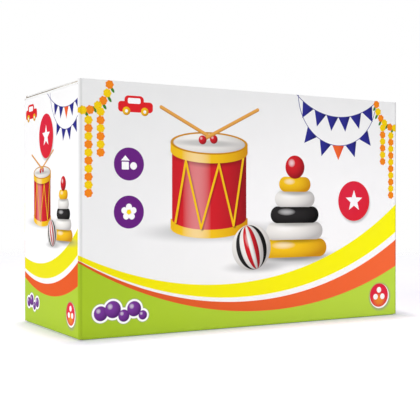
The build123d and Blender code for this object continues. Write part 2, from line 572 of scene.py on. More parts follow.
def new_group(name, inputs, outputs):
    """Starts a shader node group; each input is name: (kind, first value)."""
    group = bpy.data.node_groups.new(name, "ShaderNodeTree")
    for label, (kind, value) in inputs.items():
        socket = group.interface.new_socket(label, in_out="INPUT", socket_type=kind)
        socket.default_value = value
    for label, kind in outputs.items():
        group.interface.new_socket(label, in_out="OUTPUT", socket_type=kind)
    inside = group.nodes.new("NodeGroupInput")
    outside = group.nodes.new("NodeGroupOutput")
    return group, inside.outputs, outside.inputs


def sums(tree, operation, *terms):
    """The result of one math node."""
    return add_node(tree, "Math", *terms, operation=operation).outputs[0]


def plus(tree, first, second):
    """Two numbers added."""
    return sums(tree, "ADD", first, second)


def minus(tree, first, second):
    """The second number taken from the first."""
    return sums(tree, "SUBTRACT", first, second)


def times(tree, first, second):
    """Two numbers multiplied."""
    return sums(tree, "MULTIPLY", first, second)


def limited(tree, number):
    """A number kept from 0 to 1."""
    return add_node(tree, "Clamp", number).outputs[0]


def dot(tree, first, second):
    """How far one vector reaches along another."""
    return add_node(tree, "VectorMath", first, second, operation="DOT_PRODUCT").outputs["Value"]


def apart(tree, vector):
    """The three numbers of a vector."""
    return add_node(tree, "SeparateXYZ", vector).outputs


def blend_colours(tree, factor, under, over, way="MIX"):
    """The result of one colour mix node."""
    node = add_node(tree, "Mix", factor, data_type="RGBA", blend_type=way)
    wire(tree, node.inputs[MIX_UNDER], under)
    wire(tree, node.inputs[MIX_OVER], over)
    return node.outputs[MIX_RESULT]


def noise(tree, place, scale, detail):
    """The value of one noise node, from 0 to 1."""
    node = add_node(tree, "TexNoise", place)
    node.inputs["Scale"].default_value = scale
    node.inputs["Detail"].default_value = detail
    return node.outputs["Fac"]


def place_in_mm(tree):
    """The piece's own coordinates in millimetres."""
    place = add_node(tree, "TexCoord").outputs["Object"]
    node = add_node(tree, "VectorMath", place, operation="SCALE")
    node.inputs["Scale"].default_value = 1 / MM
    return node.outputs["Vector"]


print("helpers for sums and groups ready")

# %% The paper group
FIBRE_SCALE = 2.2
FIBRE_STRETCH = 0.22
CLOUD_SCALE = 0.045
PAPER_DETAIL = 3.0


def make_paper_group():
    """Fibres, cloud and washboard of a paper liner that is glued to flutes."""
    group, inside, outside = new_group(
        "paper liner",
        {"Place": (VECTOR, (0, 0, 0)), "Across": (VECTOR, (1, 0, 0)), "Along": (VECTOR, (0, 0, 1))},
        {"Fibres": FLOAT, "Cloud": FLOAT, "Ridges": FLOAT},
    )
    across = dot(group, inside["Place"], inside["Across"])
    along = dot(group, inside["Place"], inside["Along"])
    stretched = add_node(group, "CombineXYZ", across, times(group, along, FIBRE_STRETCH)).outputs[0]
    wire(group, outside["Fibres"], noise(group, stretched, FIBRE_SCALE, PAPER_DETAIL))
    wire(group, outside["Cloud"], noise(group, inside["Place"], CLOUD_SCALE, PAPER_DETAIL))
    turn = times(group, across, 2 * math.pi * MM / FLUTE_PITCH)
    wire(group, outside["Ridges"], sums(group, "COSINE", turn))
    return group


PAPER = make_paper_group()


def add_paper(tree, place, across, along):
    """Places the paper group in a material."""
    return add_node(tree, "Group", place, across, along, node_tree=PAPER).outputs


print("paper group has", len(PAPER.nodes), "nodes")

# %% The brown board material
X_AXIS = (1, 0, 0)
Y_AXIS = (0, 1, 0)
Z_AXIS = (0, 0, 1)
KRAFT_PALE = ink_colour("C2AA8A")
KRAFT_DARK = ink_colour("927A5C")
KRAFT_FLECK = ink_colour("6B5842")
KRAFT_CLOUD = 0.35
KRAFT_ROUGHNESS = 0.72
KRAFT_ROUGH_SPREAD = 0.15
KRAFT_SPECULAR = 0.25
KRAFT_RIDGES = 0.5
KRAFT_BUMP = 0.12 * MM
KRAFT_BUMP_STRENGTH = 0.5
FLECK_SCALE = 0.9
FLECK_START = 0.66
FLECK_RATE = 5.0


def add_bump(tree, shader, height, distance, strength):
    """Lets a height raise the surface."""
    bump = add_node(tree, "Bump")
    bump.inputs["Distance"].default_value = distance
    bump.inputs["Strength"].default_value = strength
    wire(tree, bump.inputs["Height"], height)
    wire(tree, shader.inputs["Normal"], bump.outputs["Normal"])


def make_kraft(name, across, along):
    """Brown recycled board whose flutes run along one axis."""
    material, tree, shader = start_material(name)
    place = place_in_mm(tree)
    paper = add_paper(tree, place, across, along)
    base = blend_colours(tree, paper["Fibres"], KRAFT_DARK, KRAFT_PALE)
    above_start = minus(tree, noise(tree, place, FLECK_SCALE, detail=1.0), FLECK_START)
    fleck = limited(tree, times(tree, above_start, FLECK_RATE))
    flecked = blend_colours(tree, fleck, base, KRAFT_FLECK)
    clouded = blend_colours(tree, times(tree, paper["Cloud"], KRAFT_CLOUD), flecked, KRAFT_DARK)
    wire(tree, shader.inputs["Base Color"], clouded)
    rough = sums(tree, "MULTIPLY_ADD", paper["Fibres"], KRAFT_ROUGH_SPREAD, KRAFT_ROUGHNESS)
    wire(tree, shader.inputs["Roughness"], rough)
    shader.inputs["Specular IOR Level"].default_value = KRAFT_SPECULAR
    height = sums(tree, "MULTIPLY_ADD", paper["Ridges"], KRAFT_RIDGES, paper["Fibres"])
    add_bump(tree, shader, height, KRAFT_BUMP, KRAFT_BUMP_STRENGTH)
    return material


KRAFT_ALONG_Z = make_kraft("kraft, flutes up the wall", X_AXIS, Z_AXIS)
KRAFT_END = make_kraft("kraft, flutes up the end", Y_AXIS, Z_AXIS)
KRAFT_ALONG_Y = make_kraft("kraft, flutes front to back", X_AXIS, Y_AXIS)
KRAFT_ALONG_X = make_kraft("kraft, flutes side to side", Y_AXIS, X_AXIS)
print("four kraft materials")

# %% [markdown]
# ## A panel of board
# Every panel is laid up as at the board mill: the outer liner, which takes the print, the wavy core and the
# inner liner. The outer liner stays a piece of its own, so that its print gets the whole of its texture when
# it is baked.
# Where the board is folded, the core is crushed flat, so there a plain filling follows the fold instead of a
# wave.

# %% Helpers for a whole panel
LINER_LEVEL = LINER - BOARD
CORE_LEVEL = -LINER
prints = {}
boards = {}


def flat(level):
    """Leaves the sheet flat."""


def join(name, pieces):
    """Joins pieces into the first one."""
    bpy.ops.object.select_all(action="DESELECT")
    for piece in pieces:
        piece.select_set(True)
    bpy.context.view_layer.objects.active = pieces[0]
    bpy.ops.object.join()
    pieces[0].name = name
    return pieces[0]


def make_print(name, facing, origin, edges, kraft, shape=flat_outline, bend=flat):
    """The outer liner of a panel; its face is left for the print."""
    open_sheet(name + "_print", edges, (None, kraft))
    shape()
    bend(0.0)
    face_up()
    prints[name] = stand_up(thicken(LINER), facing, origin)


def make_liner(facing, origin, edges, kraft, shape=flat_outline, bend=flat, level=LINER_LEVEL):
    """A brown liner of a panel."""
    open_sheet("liner", edges, (kraft,), level)
    shape()
    bend(level)
    face_up()
    return stand_up(thicken(LINER), facing, origin)


def make_crushed_folds(facing, origin, edges, kraft, bend):
    """The crushed core round a panel's folds, with no flat part."""
    open_sheet("crushed folds", edges, (kraft,), CORE_LEVEL)
    bend(CORE_LEVEL)
    face_up()
    pick(lambda place: abs(place.z - CORE_LEVEL) < TOUCH)
    bpy.ops.mesh.delete(type="ONLY_FACE")
    return stand_up(thicken(CORE), facing, origin)


def make_board(name, facing, origin, edges, kraft, shape, along="v"):
    """The brown layers of a flat panel: its inner liner and its core."""
    core = fluted_core(edges, kraft, along, shape)
    layers = [make_liner(facing, origin, edges, kraft, shape), stand_up(core, facing, origin)]
    boards[name] = join(name + "_board", layers)


print("panels have", round(CORE / MM, 2), "mm of core")

# %% [markdown]
# ## The four walls
# The front has a corner fold on each side, the back has one on the left and a cut edge over the glued seam,
# and the right end rolls round the seam to its glue flap. All four roll in at the floor.
# Each wall is a row in a table, because they differ only in size, in place and in which sides are folded.

# %% Make the walls
QUARTER = 90
HALF_QUARTER = 45
WALLS = {
    # name: facing, origin, edges, folded sides, kraft
    "front": (
        "front", (0, -HALF_DEPTH, 0), (-FOLD_X, FOLD_X, FOLD, FRONT_TOP), ("left", "right"), KRAFT_ALONG_Z,
    ),
    "back": (
        "back", (0, HALF_DEPTH, 0), (-SEAM_EDGE, FOLD_X, FOLD, BACK_TOP), ("right",), KRAFT_ALONG_Z,
    ),
    "left_end": (
        "left", (-HALF_WIDTH, 0, 0), (-FOLD_Y, FOLD_Y, FOLD, END_TOP), (), KRAFT_END,
    ),
    "right_end": (
        "right", (HALF_WIDTH, 0, 0), (-FOLD_Y, SEAM_Y, FOLD, END_TOP), ("right",), KRAFT_END,
    ),
}


def wall_bend(edges, sides, floor_turn):
    """How a wall's sheet is folded: a quarter at its folded sides, and in at the floor."""
    left, right, low, high = edges

    def bend(level):
        for side in sides:
            edge, way = (left, -1) if side == "left" else (right, 1)
            fold_back(side, edge, QUARTER, level)
            pick(lambda place: abs(place.y - low) < TOUCH and way * (place.x - edge) > -TOUCH)
            extrude_by((0, CORNER_FOOT - low, 0))
        fold_back("low", low, floor_turn, level)

    return bend


for name, (facing, origin, edges, sides, kraft) in WALLS.items():
    make_print(name, facing, origin, edges, kraft, bend=wall_bend(edges, sides, HALF_QUARTER))
    inner_bend = wall_bend(edges, sides, QUARTER)
    layers = [
        make_liner(facing, origin, edges, kraft, bend=inner_bend),
        make_crushed_folds(facing, origin, edges, kraft, inner_bend),
        stand_up(fluted_core(edges, kraft), facing, origin),
    ]
    boards[name] = join(name + "_board", layers)
    print(name, "wall,", len(boards[name].data.polygons), "faces of board")

# %% [markdown]
# ## The glue flap
# The right end's last flap is glued inside the back wall, and its ends are cut at a slant so that it can't
# catch. Nobody sees its glued side, so it is brown all through.

# %% Make the glue flap
GLUE_END = 10 * MM
GLUE_SLANT = 12 * MM
GLUE_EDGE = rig.box("glue_flap")[0].x
glue_low = FOLD + GLUE_END
glue_high = END_TOP - GLUE_END
glue_edges = (-FOLD_X, -GLUE_EDGE, glue_low, glue_high)
glue_place = ("back", (0, HALF_DEPTH - BOARD, 0), glue_edges, KRAFT_ALONG_Z)


def glue_outline():
    """Cuts the two slanted ends."""
    run = FOLD_X - GLUE_EDGE
    trim((-FOLD_X, glue_high), (GLUE_SLANT, run))
    trim((-FOLD_X, glue_low), (GLUE_SLANT, -run))


glue_core = fluted_core(glue_edges, KRAFT_ALONG_Z, shape=glue_outline)
layers = [
    make_liner(*glue_place, shape=glue_outline),
    make_liner(*glue_place, shape=glue_outline, level=0.0),
    stand_up(glue_core, *glue_place[:2]),
]
boards["glue_flap"] = join("glue_flap_board", layers)
print("glue flap from x", round(GLUE_EDGE / MM, 1), "mm")

# %% [markdown]
# ## The lid
# The lid narrows a little towards its front, so that it drops in between the ends. The cutting die crushes
# its two side edges, so there the white liner rolls down over the brown core.
# The sheet is made short of its edges, and the roll is pulled out of them in three small steps.

# %% Make the lid
crease_at = {joint["name"]: Vector(joint["pos_m"]) for joint in frame["record"]["behaviour"]["joints"]}
LID_TAPER = 3 * MM
LID_STRAIGHT = 75 * MM
# how far out and down each step of the roll goes
EDGE_ROLL = ((0.6 * MM, -0.15 * MM), (0.4 * MM, -0.75 * MM), (0, -0.85 * MM))
CORE_INSET = 0.5 * MM
EDGE_CRUSH = 1.2 * MM
LID_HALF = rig.box("lid")[1].x - EDGE_CRUSH
LID_FRONT = crease_at["tuck_crease"].y + FOLD
roll_width = sum(out for out, down in EDGE_ROLL)
taper_start = FOLD_Y - LID_STRAIGHT
taper_run = taper_start - LID_FRONT


def taper(half_width):
    """The lid's outline, at a half width: its sides slant in over the front half."""
    for side in (-1, 1):
        trim((side * half_width, taper_start), (side * taper_run, -LID_TAPER))


def lid_core_outline():
    """The outline of the brown layers."""
    taper(LID_HALF - CORE_INSET)


def lid_face_outline():
    """The outline of the white liner, without its rolled sides."""
    taper(LID_HALF - roll_width)


def roll_sides(level):
    """Pulls the white liner down over both side edges."""
    for side in (-1, 1):
        narrowest = LID_HALF - roll_width - LID_TAPER
        depth = level
        for out, down in EDGE_ROLL:
            pick(lambda place: side * place.x > narrowest - TOUCH and abs(place.z - depth) < TOUCH)
            extrude_by((side * out, 0, down))
            depth += down


lid_core_edges = (CORE_INSET - LID_HALF, LID_HALF - CORE_INSET, LID_FRONT, FOLD_Y)
lid_face_edges = (roll_width - LID_HALF, LID_HALF - roll_width, LID_FRONT, FOLD_Y)
lid_place = ("top", (0, 0, HEIGHT))
make_print("lid", *lid_place, lid_face_edges, KRAFT_ALONG_Y, lid_face_outline, roll_sides)
make_board("lid", *lid_place, lid_core_edges, KRAFT_ALONG_Y, lid_core_outline)
print("lid", round(2 * LID_HALF / MM, 1), "mm wide,", round((FOLD_Y - LID_FRONT) / MM, 1), "mm deep")

# %% [markdown]
# ## The tuck tab
# The tab hangs from the lid's front edge and leans in behind the front wall. Its two lower corners are
# round, so that it finds its way into the slot.
# A corner is rounded by a fan of straight cuts that touch the arc, which works on the flat liners and on the
# wavy core.

# %% Make the tuck tab
TAB_LEAN = 12
TAB_LENGTH = 28 * MM
TAB_CORNER = 16 * MM
CREASE_GAP = 0.2 * MM
ROUND_CUTS = 7
TAB_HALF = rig.box("tuck_tab")[1].x


def round_corner(corner, first, second, radius, only=everywhere):
    """Rounds the corner between two edges, given by their outward normals, with a fan of cuts."""
    first, second = Vector(first).normalized(), Vector(second).normalized()
    meeting = first + second
    centre = Vector(corner) - meeting * (radius / (1 + first.dot(second)))
    for step in range(1, ROUND_CUTS):
        way = first.lerp(second, step / ROUND_CUTS).normalized()
        trim(centre + radius * way, way, only)


def tab_outline():
    """Rounds the two lower corners."""
    for side in (-1, 1):
        round_corner((side * TAB_HALF, -TAB_LENGTH), (side, 0), (0, -1), TAB_CORNER)


tab_edges = (-TAB_HALF, TAB_HALF, -TAB_LENGTH, -(FOLD + CREASE_GAP))
tab_place = ((QUARTER + TAB_LEAN, 0, 0), (0, crease_at["tuck_crease"].y, HEIGHT))
make_print("tuck_tab", *tab_place, tab_edges, KRAFT_ALONG_Z, tab_outline)
make_board("tuck_tab", *tab_place, tab_edges, KRAFT_ALONG_Z, tab_outline)
print("tuck tab", round(2 * TAB_HALF / MM, 1), "mm wide")

# %% [markdown]
# ## The dust flaps
# A flap folds in from each end under the lid. Its rear edge is mitred, so that it clears the lid's crease,
# and its front edge steps back beside the tuck tab.
# The step makes a hollow corner, which one straight cut can't make, so that cut acts only on the part past
# the step.

# %% Make the dust flaps
FLAP_MITRE = math.radians(36)
FLAP_TAPER = math.radians(8)
FLAP_SHOULDER = 10 * MM
FLAP_SETBACK = 9 * MM
FLAP_CORNER = 8 * MM
CORNER_RELIEF = 0.5 * MM
FLAP_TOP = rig.box("left_dust_flap")[1].z
FLAP_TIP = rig.box("right_dust_flap")[0].x


def flap_shape(side, rear):
    """How a dust flap is cut; side is -1 on the left and 1 on the right."""
    step = HALF_WIDTH - FLAP_SHOULDER
    step_front = FLAP_SETBACK - HALF_DEPTH
    mitre = (-side * math.sin(FLAP_MITRE), math.cos(FLAP_MITRE))
    slant = (-side * math.sin(FLAP_TAPER), -math.cos(FLAP_TAPER))
    tip_rear = rear - (FOLD_X - FLAP_TIP) * math.tan(FLAP_MITRE)
    tip_front = step_front + (step - FLAP_TIP) * math.tan(FLAP_TAPER)

    def shape():
        score((side * step, 0), (1, 0))
        trim((side * step, step_front), slant, only=lambda place: side * place.x < step + TOUCH)
        trim((side * FOLD_X, rear), mitre)
        round_corner((side * FLAP_TIP, tip_rear), mitre, (-side, 0), FLAP_CORNER)
        round_corner((side * FLAP_TIP, tip_front), slant, (-side, 0), FLAP_CORNER)

    return shape


flap_place = ("top", (0, 0, FLAP_TOP))
for name, side, rear in (
    ("left_dust_flap", -1, FOLD_Y - CORNER_RELIEF),
    ("right_dust_flap", 1, SEAM_Y - CORNER_RELIEF),
):
    left, right = sorted((side * FLAP_TIP, side * FOLD_X))
    edges = (left, right, CORNER_RELIEF - FOLD_Y, rear)
    shape = flap_shape(side, rear)
    make_print(name, *flap_place, edges, KRAFT_ALONG_X, shape)
    make_board(name, *flap_place, edges, KRAFT_ALONG_X, shape, along="u")
    print(name, "reaches", round((HALF_WIDTH - FLAP_TIP) / MM, 1), "mm in")

# %% [markdown]
# ## The outer bottom flap
# The last flap to be folded closes the bottom. It is glued under the other three and stops short of their
# folds. It is a plain rectangle whose front strip is pulled out wider, up to the fold in front.

# %% Make the outer bottom flap
bottom_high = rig.box("bottom_front_flap")[1]
CREASE_HALF_X = bottom_high.x
OUTER_INSET = HALF_DEPTH - bottom_high.y
outer_half = HALF_WIDTH - OUTER_INSET
flare = CREASE_HALF_X - outer_half
outer_edges = (-outer_half, outer_half, -bottom_high.y, FOLD_Y - flare)
outer_place = ("bottom", (0, 0, 0))


def outer_outline():
    """Pulls the wide front strip out of the rectangle."""
    pick(lambda place: place.y > FOLD_Y - flare - TOUCH)
    extrude_by((0, flare, 0))
    bpy.ops.transform.resize(value=(CREASE_HALF_X / outer_half, 1, 1))


def outer_print_bend(level):
    """Rolls the print up to the front wall."""
    fold_back("high", FOLD_Y, HALF_QUARTER, level)


make_print("bottom_front", *outer_place, outer_edges, KRAFT_ALONG_Y, outer_outline, outer_print_bend)
outer_core = fluted_core((-outer_half, outer_half, -bottom_high.y, FOLD_Y), KRAFT_ALONG_Y)
layers = [
    make_liner(*outer_place, outer_edges, KRAFT_ALONG_Y, outer_outline),
    stand_up(outer_core, *outer_place),
]
boards["bottom_front"] = join("bottom_front_board", layers)
print("outer bottom flap", round(2 * outer_half / MM, 1), "mm wide")

# %% [markdown]
# ## The inner bottom flaps
# The back flap and the two end flaps lie on the outer one. Each starts at the floor, where it is folded off
# its wall, and ramps up by one board to lie flat.
# The ramp is a scored line and one move up of all that lies past it.

# %% Helper for a flap with a ramp
RAMP = 12 * MM
END_FLAP_TAPER = math.radians(6)
BACK_FLAP_DEPTH = 50 * MM
FLAP_CLEARANCE = 1 * MM
INNER_CORNER = 6 * MM
DIAGONAL = math.sqrt(0.5)
ON_FLOOR = ("bottom", (0, 0, 0))
ON_OUTER_FLAP = ("bottom", (0, 0, BOARD))


def ramp_up(axis, start):
    """Scores the end of the ramp and lifts all that lies past it by one board."""
    line = [0, 0]
    line[axis] = start
    score(line, (1 - axis, axis))
    pick(lambda place: abs(place[axis]) < abs(start) + TOUCH)
    bpy.ops.transform.translate(value=(0, 0, -BOARD))


def make_ramped_flap(name, edges, core_edges, shape, ramp, fold, kraft, along):
    """All layers of an inner bottom flap."""
    def print_bend(level):
        ramp_up(*ramp)
        fold_back(*fold, HALF_QUARTER, level)

    def liner_bend(level):
        ramp_up(*ramp)

    make_print(name, *ON_FLOOR, edges, kraft, shape, print_bend)
    core = fluted_core(core_edges, kraft, along, shape)
    layers = [
        make_liner(*ON_FLOOR, edges, kraft, shape, liner_bend),
        stand_up(core, *ON_OUTER_FLAP),
    ]
    boards[name] = join(name + "_board", layers)
    print(name, "flap,", len(boards[name].data.polygons), "faces of board")


print("ramps", round(RAMP / MM, 1), "mm long")

# %% Make the bottom back flap
back_half = FOLD_X - FLAP_CLEARANCE
back_tip = BACK_FLAP_DEPTH - HALF_DEPTH


def back_flap_outline():
    """Mitres both sides and rounds the free corners."""
    free_half = back_half - (FOLD_Y + back_tip)
    for side in (-1, 1):
        mitre = (side * DIAGONAL, DIAGONAL)
        trim((side * back_half, -FOLD_Y), mitre)
        round_corner((side * free_half, back_tip), mitre, (0, 1), INNER_CORNER)


make_ramped_flap(
    "bottom_back",
    edges=(-back_half, back_half, -FOLD_Y, back_tip),
    core_edges=(-back_half, back_half, RAMP - FOLD_Y, back_tip),
    shape=back_flap_outline,
    ramp=(1, RAMP - FOLD_Y),
    fold=("low", -FOLD_Y),
    kraft=KRAFT_ALONG_Y,
    along="v",
)

# %% Make the bottom end flaps
END_FLAP_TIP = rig.box("bottom_right_flap")[0].x


def end_flap_shape(side, rear):
    """How a bottom end flap is cut; side is -1 on the left and 1 on the right."""
    front = FOLD_Y - CORNER_RELIEF
    mitre_x = HALF_WIDTH - BACK_FLAP_DEPTH
    mitre_v = -(HALF_DEPTH - BACK_FLAP_DEPTH - FLAP_CLEARANCE)
    shoulder_run = OUTER_INSET - FOLD
    shoulder_x = FOLD_X - shoulder_run
    shoulder_v = front - shoulder_run
    slant = (-side * math.sin(END_FLAP_TAPER), math.cos(END_FLAP_TAPER))
    tip_v = shoulder_v - (shoulder_x - END_FLAP_TIP) * math.tan(END_FLAP_TAPER)

    def inside_of(line):
        """Passes what lies nearer the middle than a line."""
        return lambda place: side * place.x < line + TOUCH

    def outside_of(line):
        """Passes what lies nearer the end wall than a line."""
        return lambda place: side * place.x > line - TOUCH

    def shape():
        score((side * shoulder_x, 0), (1, 0))
        score((side * mitre_x, 0), (1, 0))
        trim((side * FOLD_X, front), (-side * DIAGONAL, DIAGONAL), outside_of(shoulder_x))
        trim((side * shoulder_x, shoulder_v), slant, inside_of(shoulder_x))
        trim((side * FOLD_X, rear), (-side * DIAGONAL, -DIAGONAL), outside_of(mitre_x))
        trim((0, mitre_v), (0, -1), inside_of(mitre_x))
        round_corner((side * END_FLAP_TIP, mitre_v), (0, -1), (-side, 0), INNER_CORNER, inside_of(mitre_x))
        round_corner((side * END_FLAP_TIP, tip_v), slant, (-side, 0), INNER_CORNER, inside_of(shoulder_x))

    return shape


for name, fold_side, side, rear in (
    ("bottom_left", "left", -1, FLAP_CLEARANCE - FOLD_Y),
    ("bottom_right", "right", 1, FLAP_CLEARANCE - SEAM_Y),
):
    left, right = sorted((side * END_FLAP_TIP, side * FOLD_X))
    core_left, core_right = sorted((side * END_FLAP_TIP, side * (FOLD_X - RAMP)))
    front = FOLD_Y - CORNER_RELIEF
    make_ramped_flap(
        name,
        edges=(left, right, rear, front),
        core_edges=(core_left, core_right, rear, front),
        shape=end_flap_shape(side, rear),
        ramp=(0, side * (FOLD_X - RAMP)),
        fold=(fold_side, side * FOLD_X),
        kraft=KRAFT_ALONG_X,
        along="u",
    )

# %% [markdown]
# ## Creases that open
# The lid, the tab and the dust flaps swing on creases, where the board is pressed thin. Rigid panels alone
# would gape there when they move.
# Each crease is a thin strip rolled round its fold, white outside and brown inside. It hangs on the two
# bodies that it joins, and bends between them. The white of a dust flap's crease stops where the lid covers
# it, because the upper part of that strip lies open when the flap is folded right out.

# %% Make the crease strips
CREASE_SKIN = 0.7 * MM
CREASE_STEPS = 16
TUCK_RADIUS = FOLD * math.tan(math.radians((QUARTER - TAB_LEAN) / 2))
WHITE_TURN = math.radians(50)
creases = {}


def close_crease(name, facing, origin):
    """Gives a rolled strip its thickness and sets it in its place."""
    face_up()
    strip = stand_up(thicken(CREASE_SKIN), facing, origin)
    strip.name = name
    creases[name] = strip


hinge_line = HEIGHT - FOLD
open_sheet("strip", (-LID_HALF, LID_HALF, BACK_TOP, hinge_line), (None, KRAFT_ALONG_Y))
fold_back("high", hinge_line, QUARTER, steps=CREASE_STEPS)
close_crease("lid_crease_strip", "back", (0, HALF_DEPTH, 0))

open_sheet("strip", (-TAB_HALF, TAB_HALF, LID_FRONT, LID_FRONT + FOLD), (None, KRAFT_ALONG_Y))
fold_back("low", LID_FRONT, QUARTER + TAB_LEAN, radius=TUCK_RADIUS, steps=CREASE_STEPS)
pick(lambda place: place.y > LID_FRONT + TOUCH)
bpy.ops.mesh.delete(type="VERT")
close_crease("tuck_crease_strip", "top", (0, 0, HEIGHT))

flap_line = FLAP_TOP - FOLD
white_end = flap_line + FOLD * math.sin(WHITE_TURN)
for name, facing, side, rear in (
    ("left_flap_crease_strip", "left", -1, FOLD_Y - CORNER_RELIEF),
    ("right_flap_crease_strip", "right", 1, SEAM_Y - CORNER_RELIEF),
):
    start, end = sorted((side * rear, side * (CORNER_RELIEF - FOLD_Y)))
    open_sheet("strip", (start, end, END_TOP, flap_line), (None, KRAFT_ALONG_X))
    fold_back("high", flap_line, QUARTER, steps=CREASE_STEPS)
    pick_faces(lambda middle: middle.y > white_end)
    bpy.context.object.active_material_index = 1
    bpy.ops.object.material_slot_assign()
    close_crease(name, facing, (side * HALF_WIDTH, 0, 0))
print("creases:", ", ".join(creases))

# %% [markdown]
# ## Printing inks
# The faces are printed with flat inks: bands, discs, flowers and small toys. A picture file would be the
# usual way, but a mark drawn by a formula stays sharp at any size and can be moved by changing two numbers.
# Each kind of mark is a node group that lays one ink over what is under it. It works out how far a point is
# from the mark's outline, in millimetres, and can shade the ink as if the mark were round.

# %% Helpers for a mark of ink
WHITE = ink_colour("FFFFFF")
BLACK = ink_colour("000000")
INK_INPUTS = {
    "Under": (COLOR, WHITE),
    "Across": (FLOAT, 0.0),
    "Up": (FLOAT, 0.0),
}
MARK_INPUTS = {
    **INK_INPUTS,
    "Centre": (VECTOR, (0, 0, 0)),
    "Turn": (FLOAT, 0.0),
    "Ink": (COLOR, BLACK),
    "Dark": (COLOR, BLACK),
    "Round": (VECTOR, (0, 0, 0)),
    "Gloss": (FLOAT, 0.0),
    "Soft": (FLOAT, 0.35),
    "Strength": (FLOAT, 1.0),
}
LIGHT_SIDE = 0.35
SHADE_RATE = 0.55
SHINE_RATE = 7.0
MARKS = {}


def span(tree, x, y):
    """The length of a flat step."""
    return sums(tree, "SQRT", sums(tree, "MULTIPLY_ADD", x, x, times(tree, y, y)))


def from_centre(group, inside):
    """The place as two numbers, from the mark's own centre."""
    centre = apart(group, inside["Centre"])
    return minus(group, inside["Across"], centre["X"]), minus(group, inside["Up"], centre["Y"])


def turned(group, inside):
    """The place from the mark's own centre, turned upright."""
    aside, above = from_centre(group, inside)
    cosine = sums(group, "COSINE", inside["Turn"])
    sine = sums(group, "SINE", inside["Turn"])
    x = plus(group, times(group, aside, cosine), times(group, above, sine))
    y = minus(group, times(group, above, cosine), times(group, aside, sine))
    return x, y


def shade_ink(group, inside, across, up):
    """The ink, darker away from the light and shining near it, as on a round thing."""
    ways = apart(group, inside["Round"])
    aside = plus(group, across, LIGHT_SIDE)
    above = minus(group, up, LIGHT_SIDE)
    aside_part = times(group, times(group, aside, aside), ways["X"])
    above_part = times(group, times(group, above, above), ways["Y"])
    off_light = plus(group, aside_part, above_part)
    shaded = blend_colours(group, times(group, off_light, SHADE_RATE), inside["Ink"], inside["Dark"])
    near_light = limited(group, minus(group, 1.0, times(group, off_light, SHINE_RATE)))
    return blend_colours(group, times(group, near_light, inside["Gloss"]), shaded, WHITE)


def make_mark(name, outline, **sizes):
    """Makes a kind of mark; outline gives the distance from its edge and the place as shares of it."""
    group, inside, outside = new_group("ink " + name, {**MARK_INPUTS, **sizes}, {"Color": COLOR})
    distance, across, up = outline(group, inside, *turned(group, inside))
    ink = shade_ink(group, inside, across, up)
    edge = add_node(group, "MapRange", distance, interpolation_type="SMOOTHSTEP", clamp=False)
    wire(group, edge.inputs["From Min"], times(group, inside["Soft"], 0.5))
    wire(group, edge.inputs["From Max"], times(group, inside["Soft"], -0.5))
    mask = times(group, edge.outputs["Result"], inside["Strength"])
    wire(group, outside["Color"], blend_colours(group, mask, inside["Under"], ink))
    MARKS[name] = group


def lay(tree, under, place, mark, **values):
    """Lays one mark over a colour and gives the new colour."""
    node = add_node(tree, "Group", node_tree=MARKS[mark])
    wire(tree, node.inputs["Under"], under)
    wire(tree, node.inputs["Across"], place[0])
    wire(tree, node.inputs["Up"], place[1])
    for label, value in values.items():
        if isinstance(value, tuple) and len(value) == 2:
            value = (*value, 0)
        wire(tree, node.inputs[label.capitalize()], value)
    return node.outputs["Color"]


def lay_all(tree, colour, place, marks):
    """Lays marks one over the other."""
    for mark, values in marks:
        colour = lay(tree, colour, place, mark, **values)
    return colour


print("a mark takes", len(MARK_INPUTS), "common inputs")

# %% Discs, rings, bars and blocks
def disc_outline(group, inside, x, y):
    """A disc or an oval."""
    radii = apart(group, inside["Radii"])
    smaller = sums(group, "MINIMUM", radii["X"], radii["Y"])
    share_x = sums(group, "DIVIDE", x, radii["X"])
    share_y = sums(group, "DIVIDE", y, radii["Y"])
    past = minus(group, span(group, share_x, share_y), 1.0)
    return times(group, past, smaller), share_x, share_y


def ring_outline(group, inside, x, y):
    """A thin ring."""
    past = sums(group, "ABSOLUTE", minus(group, span(group, x, y), inside["Radius"]))
    return minus(group, past, inside["Half"]), 0.0, 0.0


def beyond_outline(group, inside, x, y):
    """All that lies beyond a circle."""
    return minus(group, inside["Radius"], span(group, x, y)), 0.0, 0.0


def bar_outline(group, inside, x, y):
    """A bar with round ends, which runs from its centre."""
    run = apart(group, inside["Run"])
    run_squared = dot(group, inside["Run"], inside["Run"])
    share_x = times(group, x, sums(group, "DIVIDE", run["X"], run_squared))
    share_y = times(group, y, sums(group, "DIVIDE", run["Y"], run_squared))
    share = limited(group, plus(group, share_x, share_y))
    aside = minus(group, x, times(group, share, run["X"]))
    above = minus(group, y, times(group, share, run["Y"]))
    distance = minus(group, span(group, aside, above), inside["Half"])
    return distance, 0.0, sums(group, "DIVIDE", above, inside["Half"])


def block_outline(group, inside, x, y):
    """A block with round corners."""
    size = apart(group, inside["Size"])
    corner = inside["Corner"]
    past_x = minus(group, sums(group, "ABSOLUTE", x), minus(group, size["X"], corner))
    past_y = minus(group, sums(group, "ABSOLUTE", y), minus(group, size["Y"], corner))
    beyond = span(group, sums(group, "MAXIMUM", past_x, 0.0), sums(group, "MAXIMUM", past_y, 0.0))
    within = sums(group, "MINIMUM", sums(group, "MAXIMUM", past_x, past_y), 0.0)
    distance = minus(group, plus(group, beyond, within), corner)
    return distance, sums(group, "DIVIDE", x, size["X"]), sums(group, "DIVIDE", y, size["Y"])


make_mark("disc", disc_outline, Radii=(VECTOR, (1, 1, 1)))
make_mark("ring", ring_outline, Radius=(FLOAT, 1.0), Half=(FLOAT, 0.5))
make_mark("beyond", beyond_outline, Radius=(FLOAT, 1.0))
make_mark("bar", bar_outline, Run=(VECTOR, (1, 0, 0)), Half=(FLOAT, 0.5))
make_mark("block", block_outline, Size=(VECTOR, (1, 1, 1)), Corner=(FLOAT, 0.5))
print("marks:", ", ".join(MARKS))

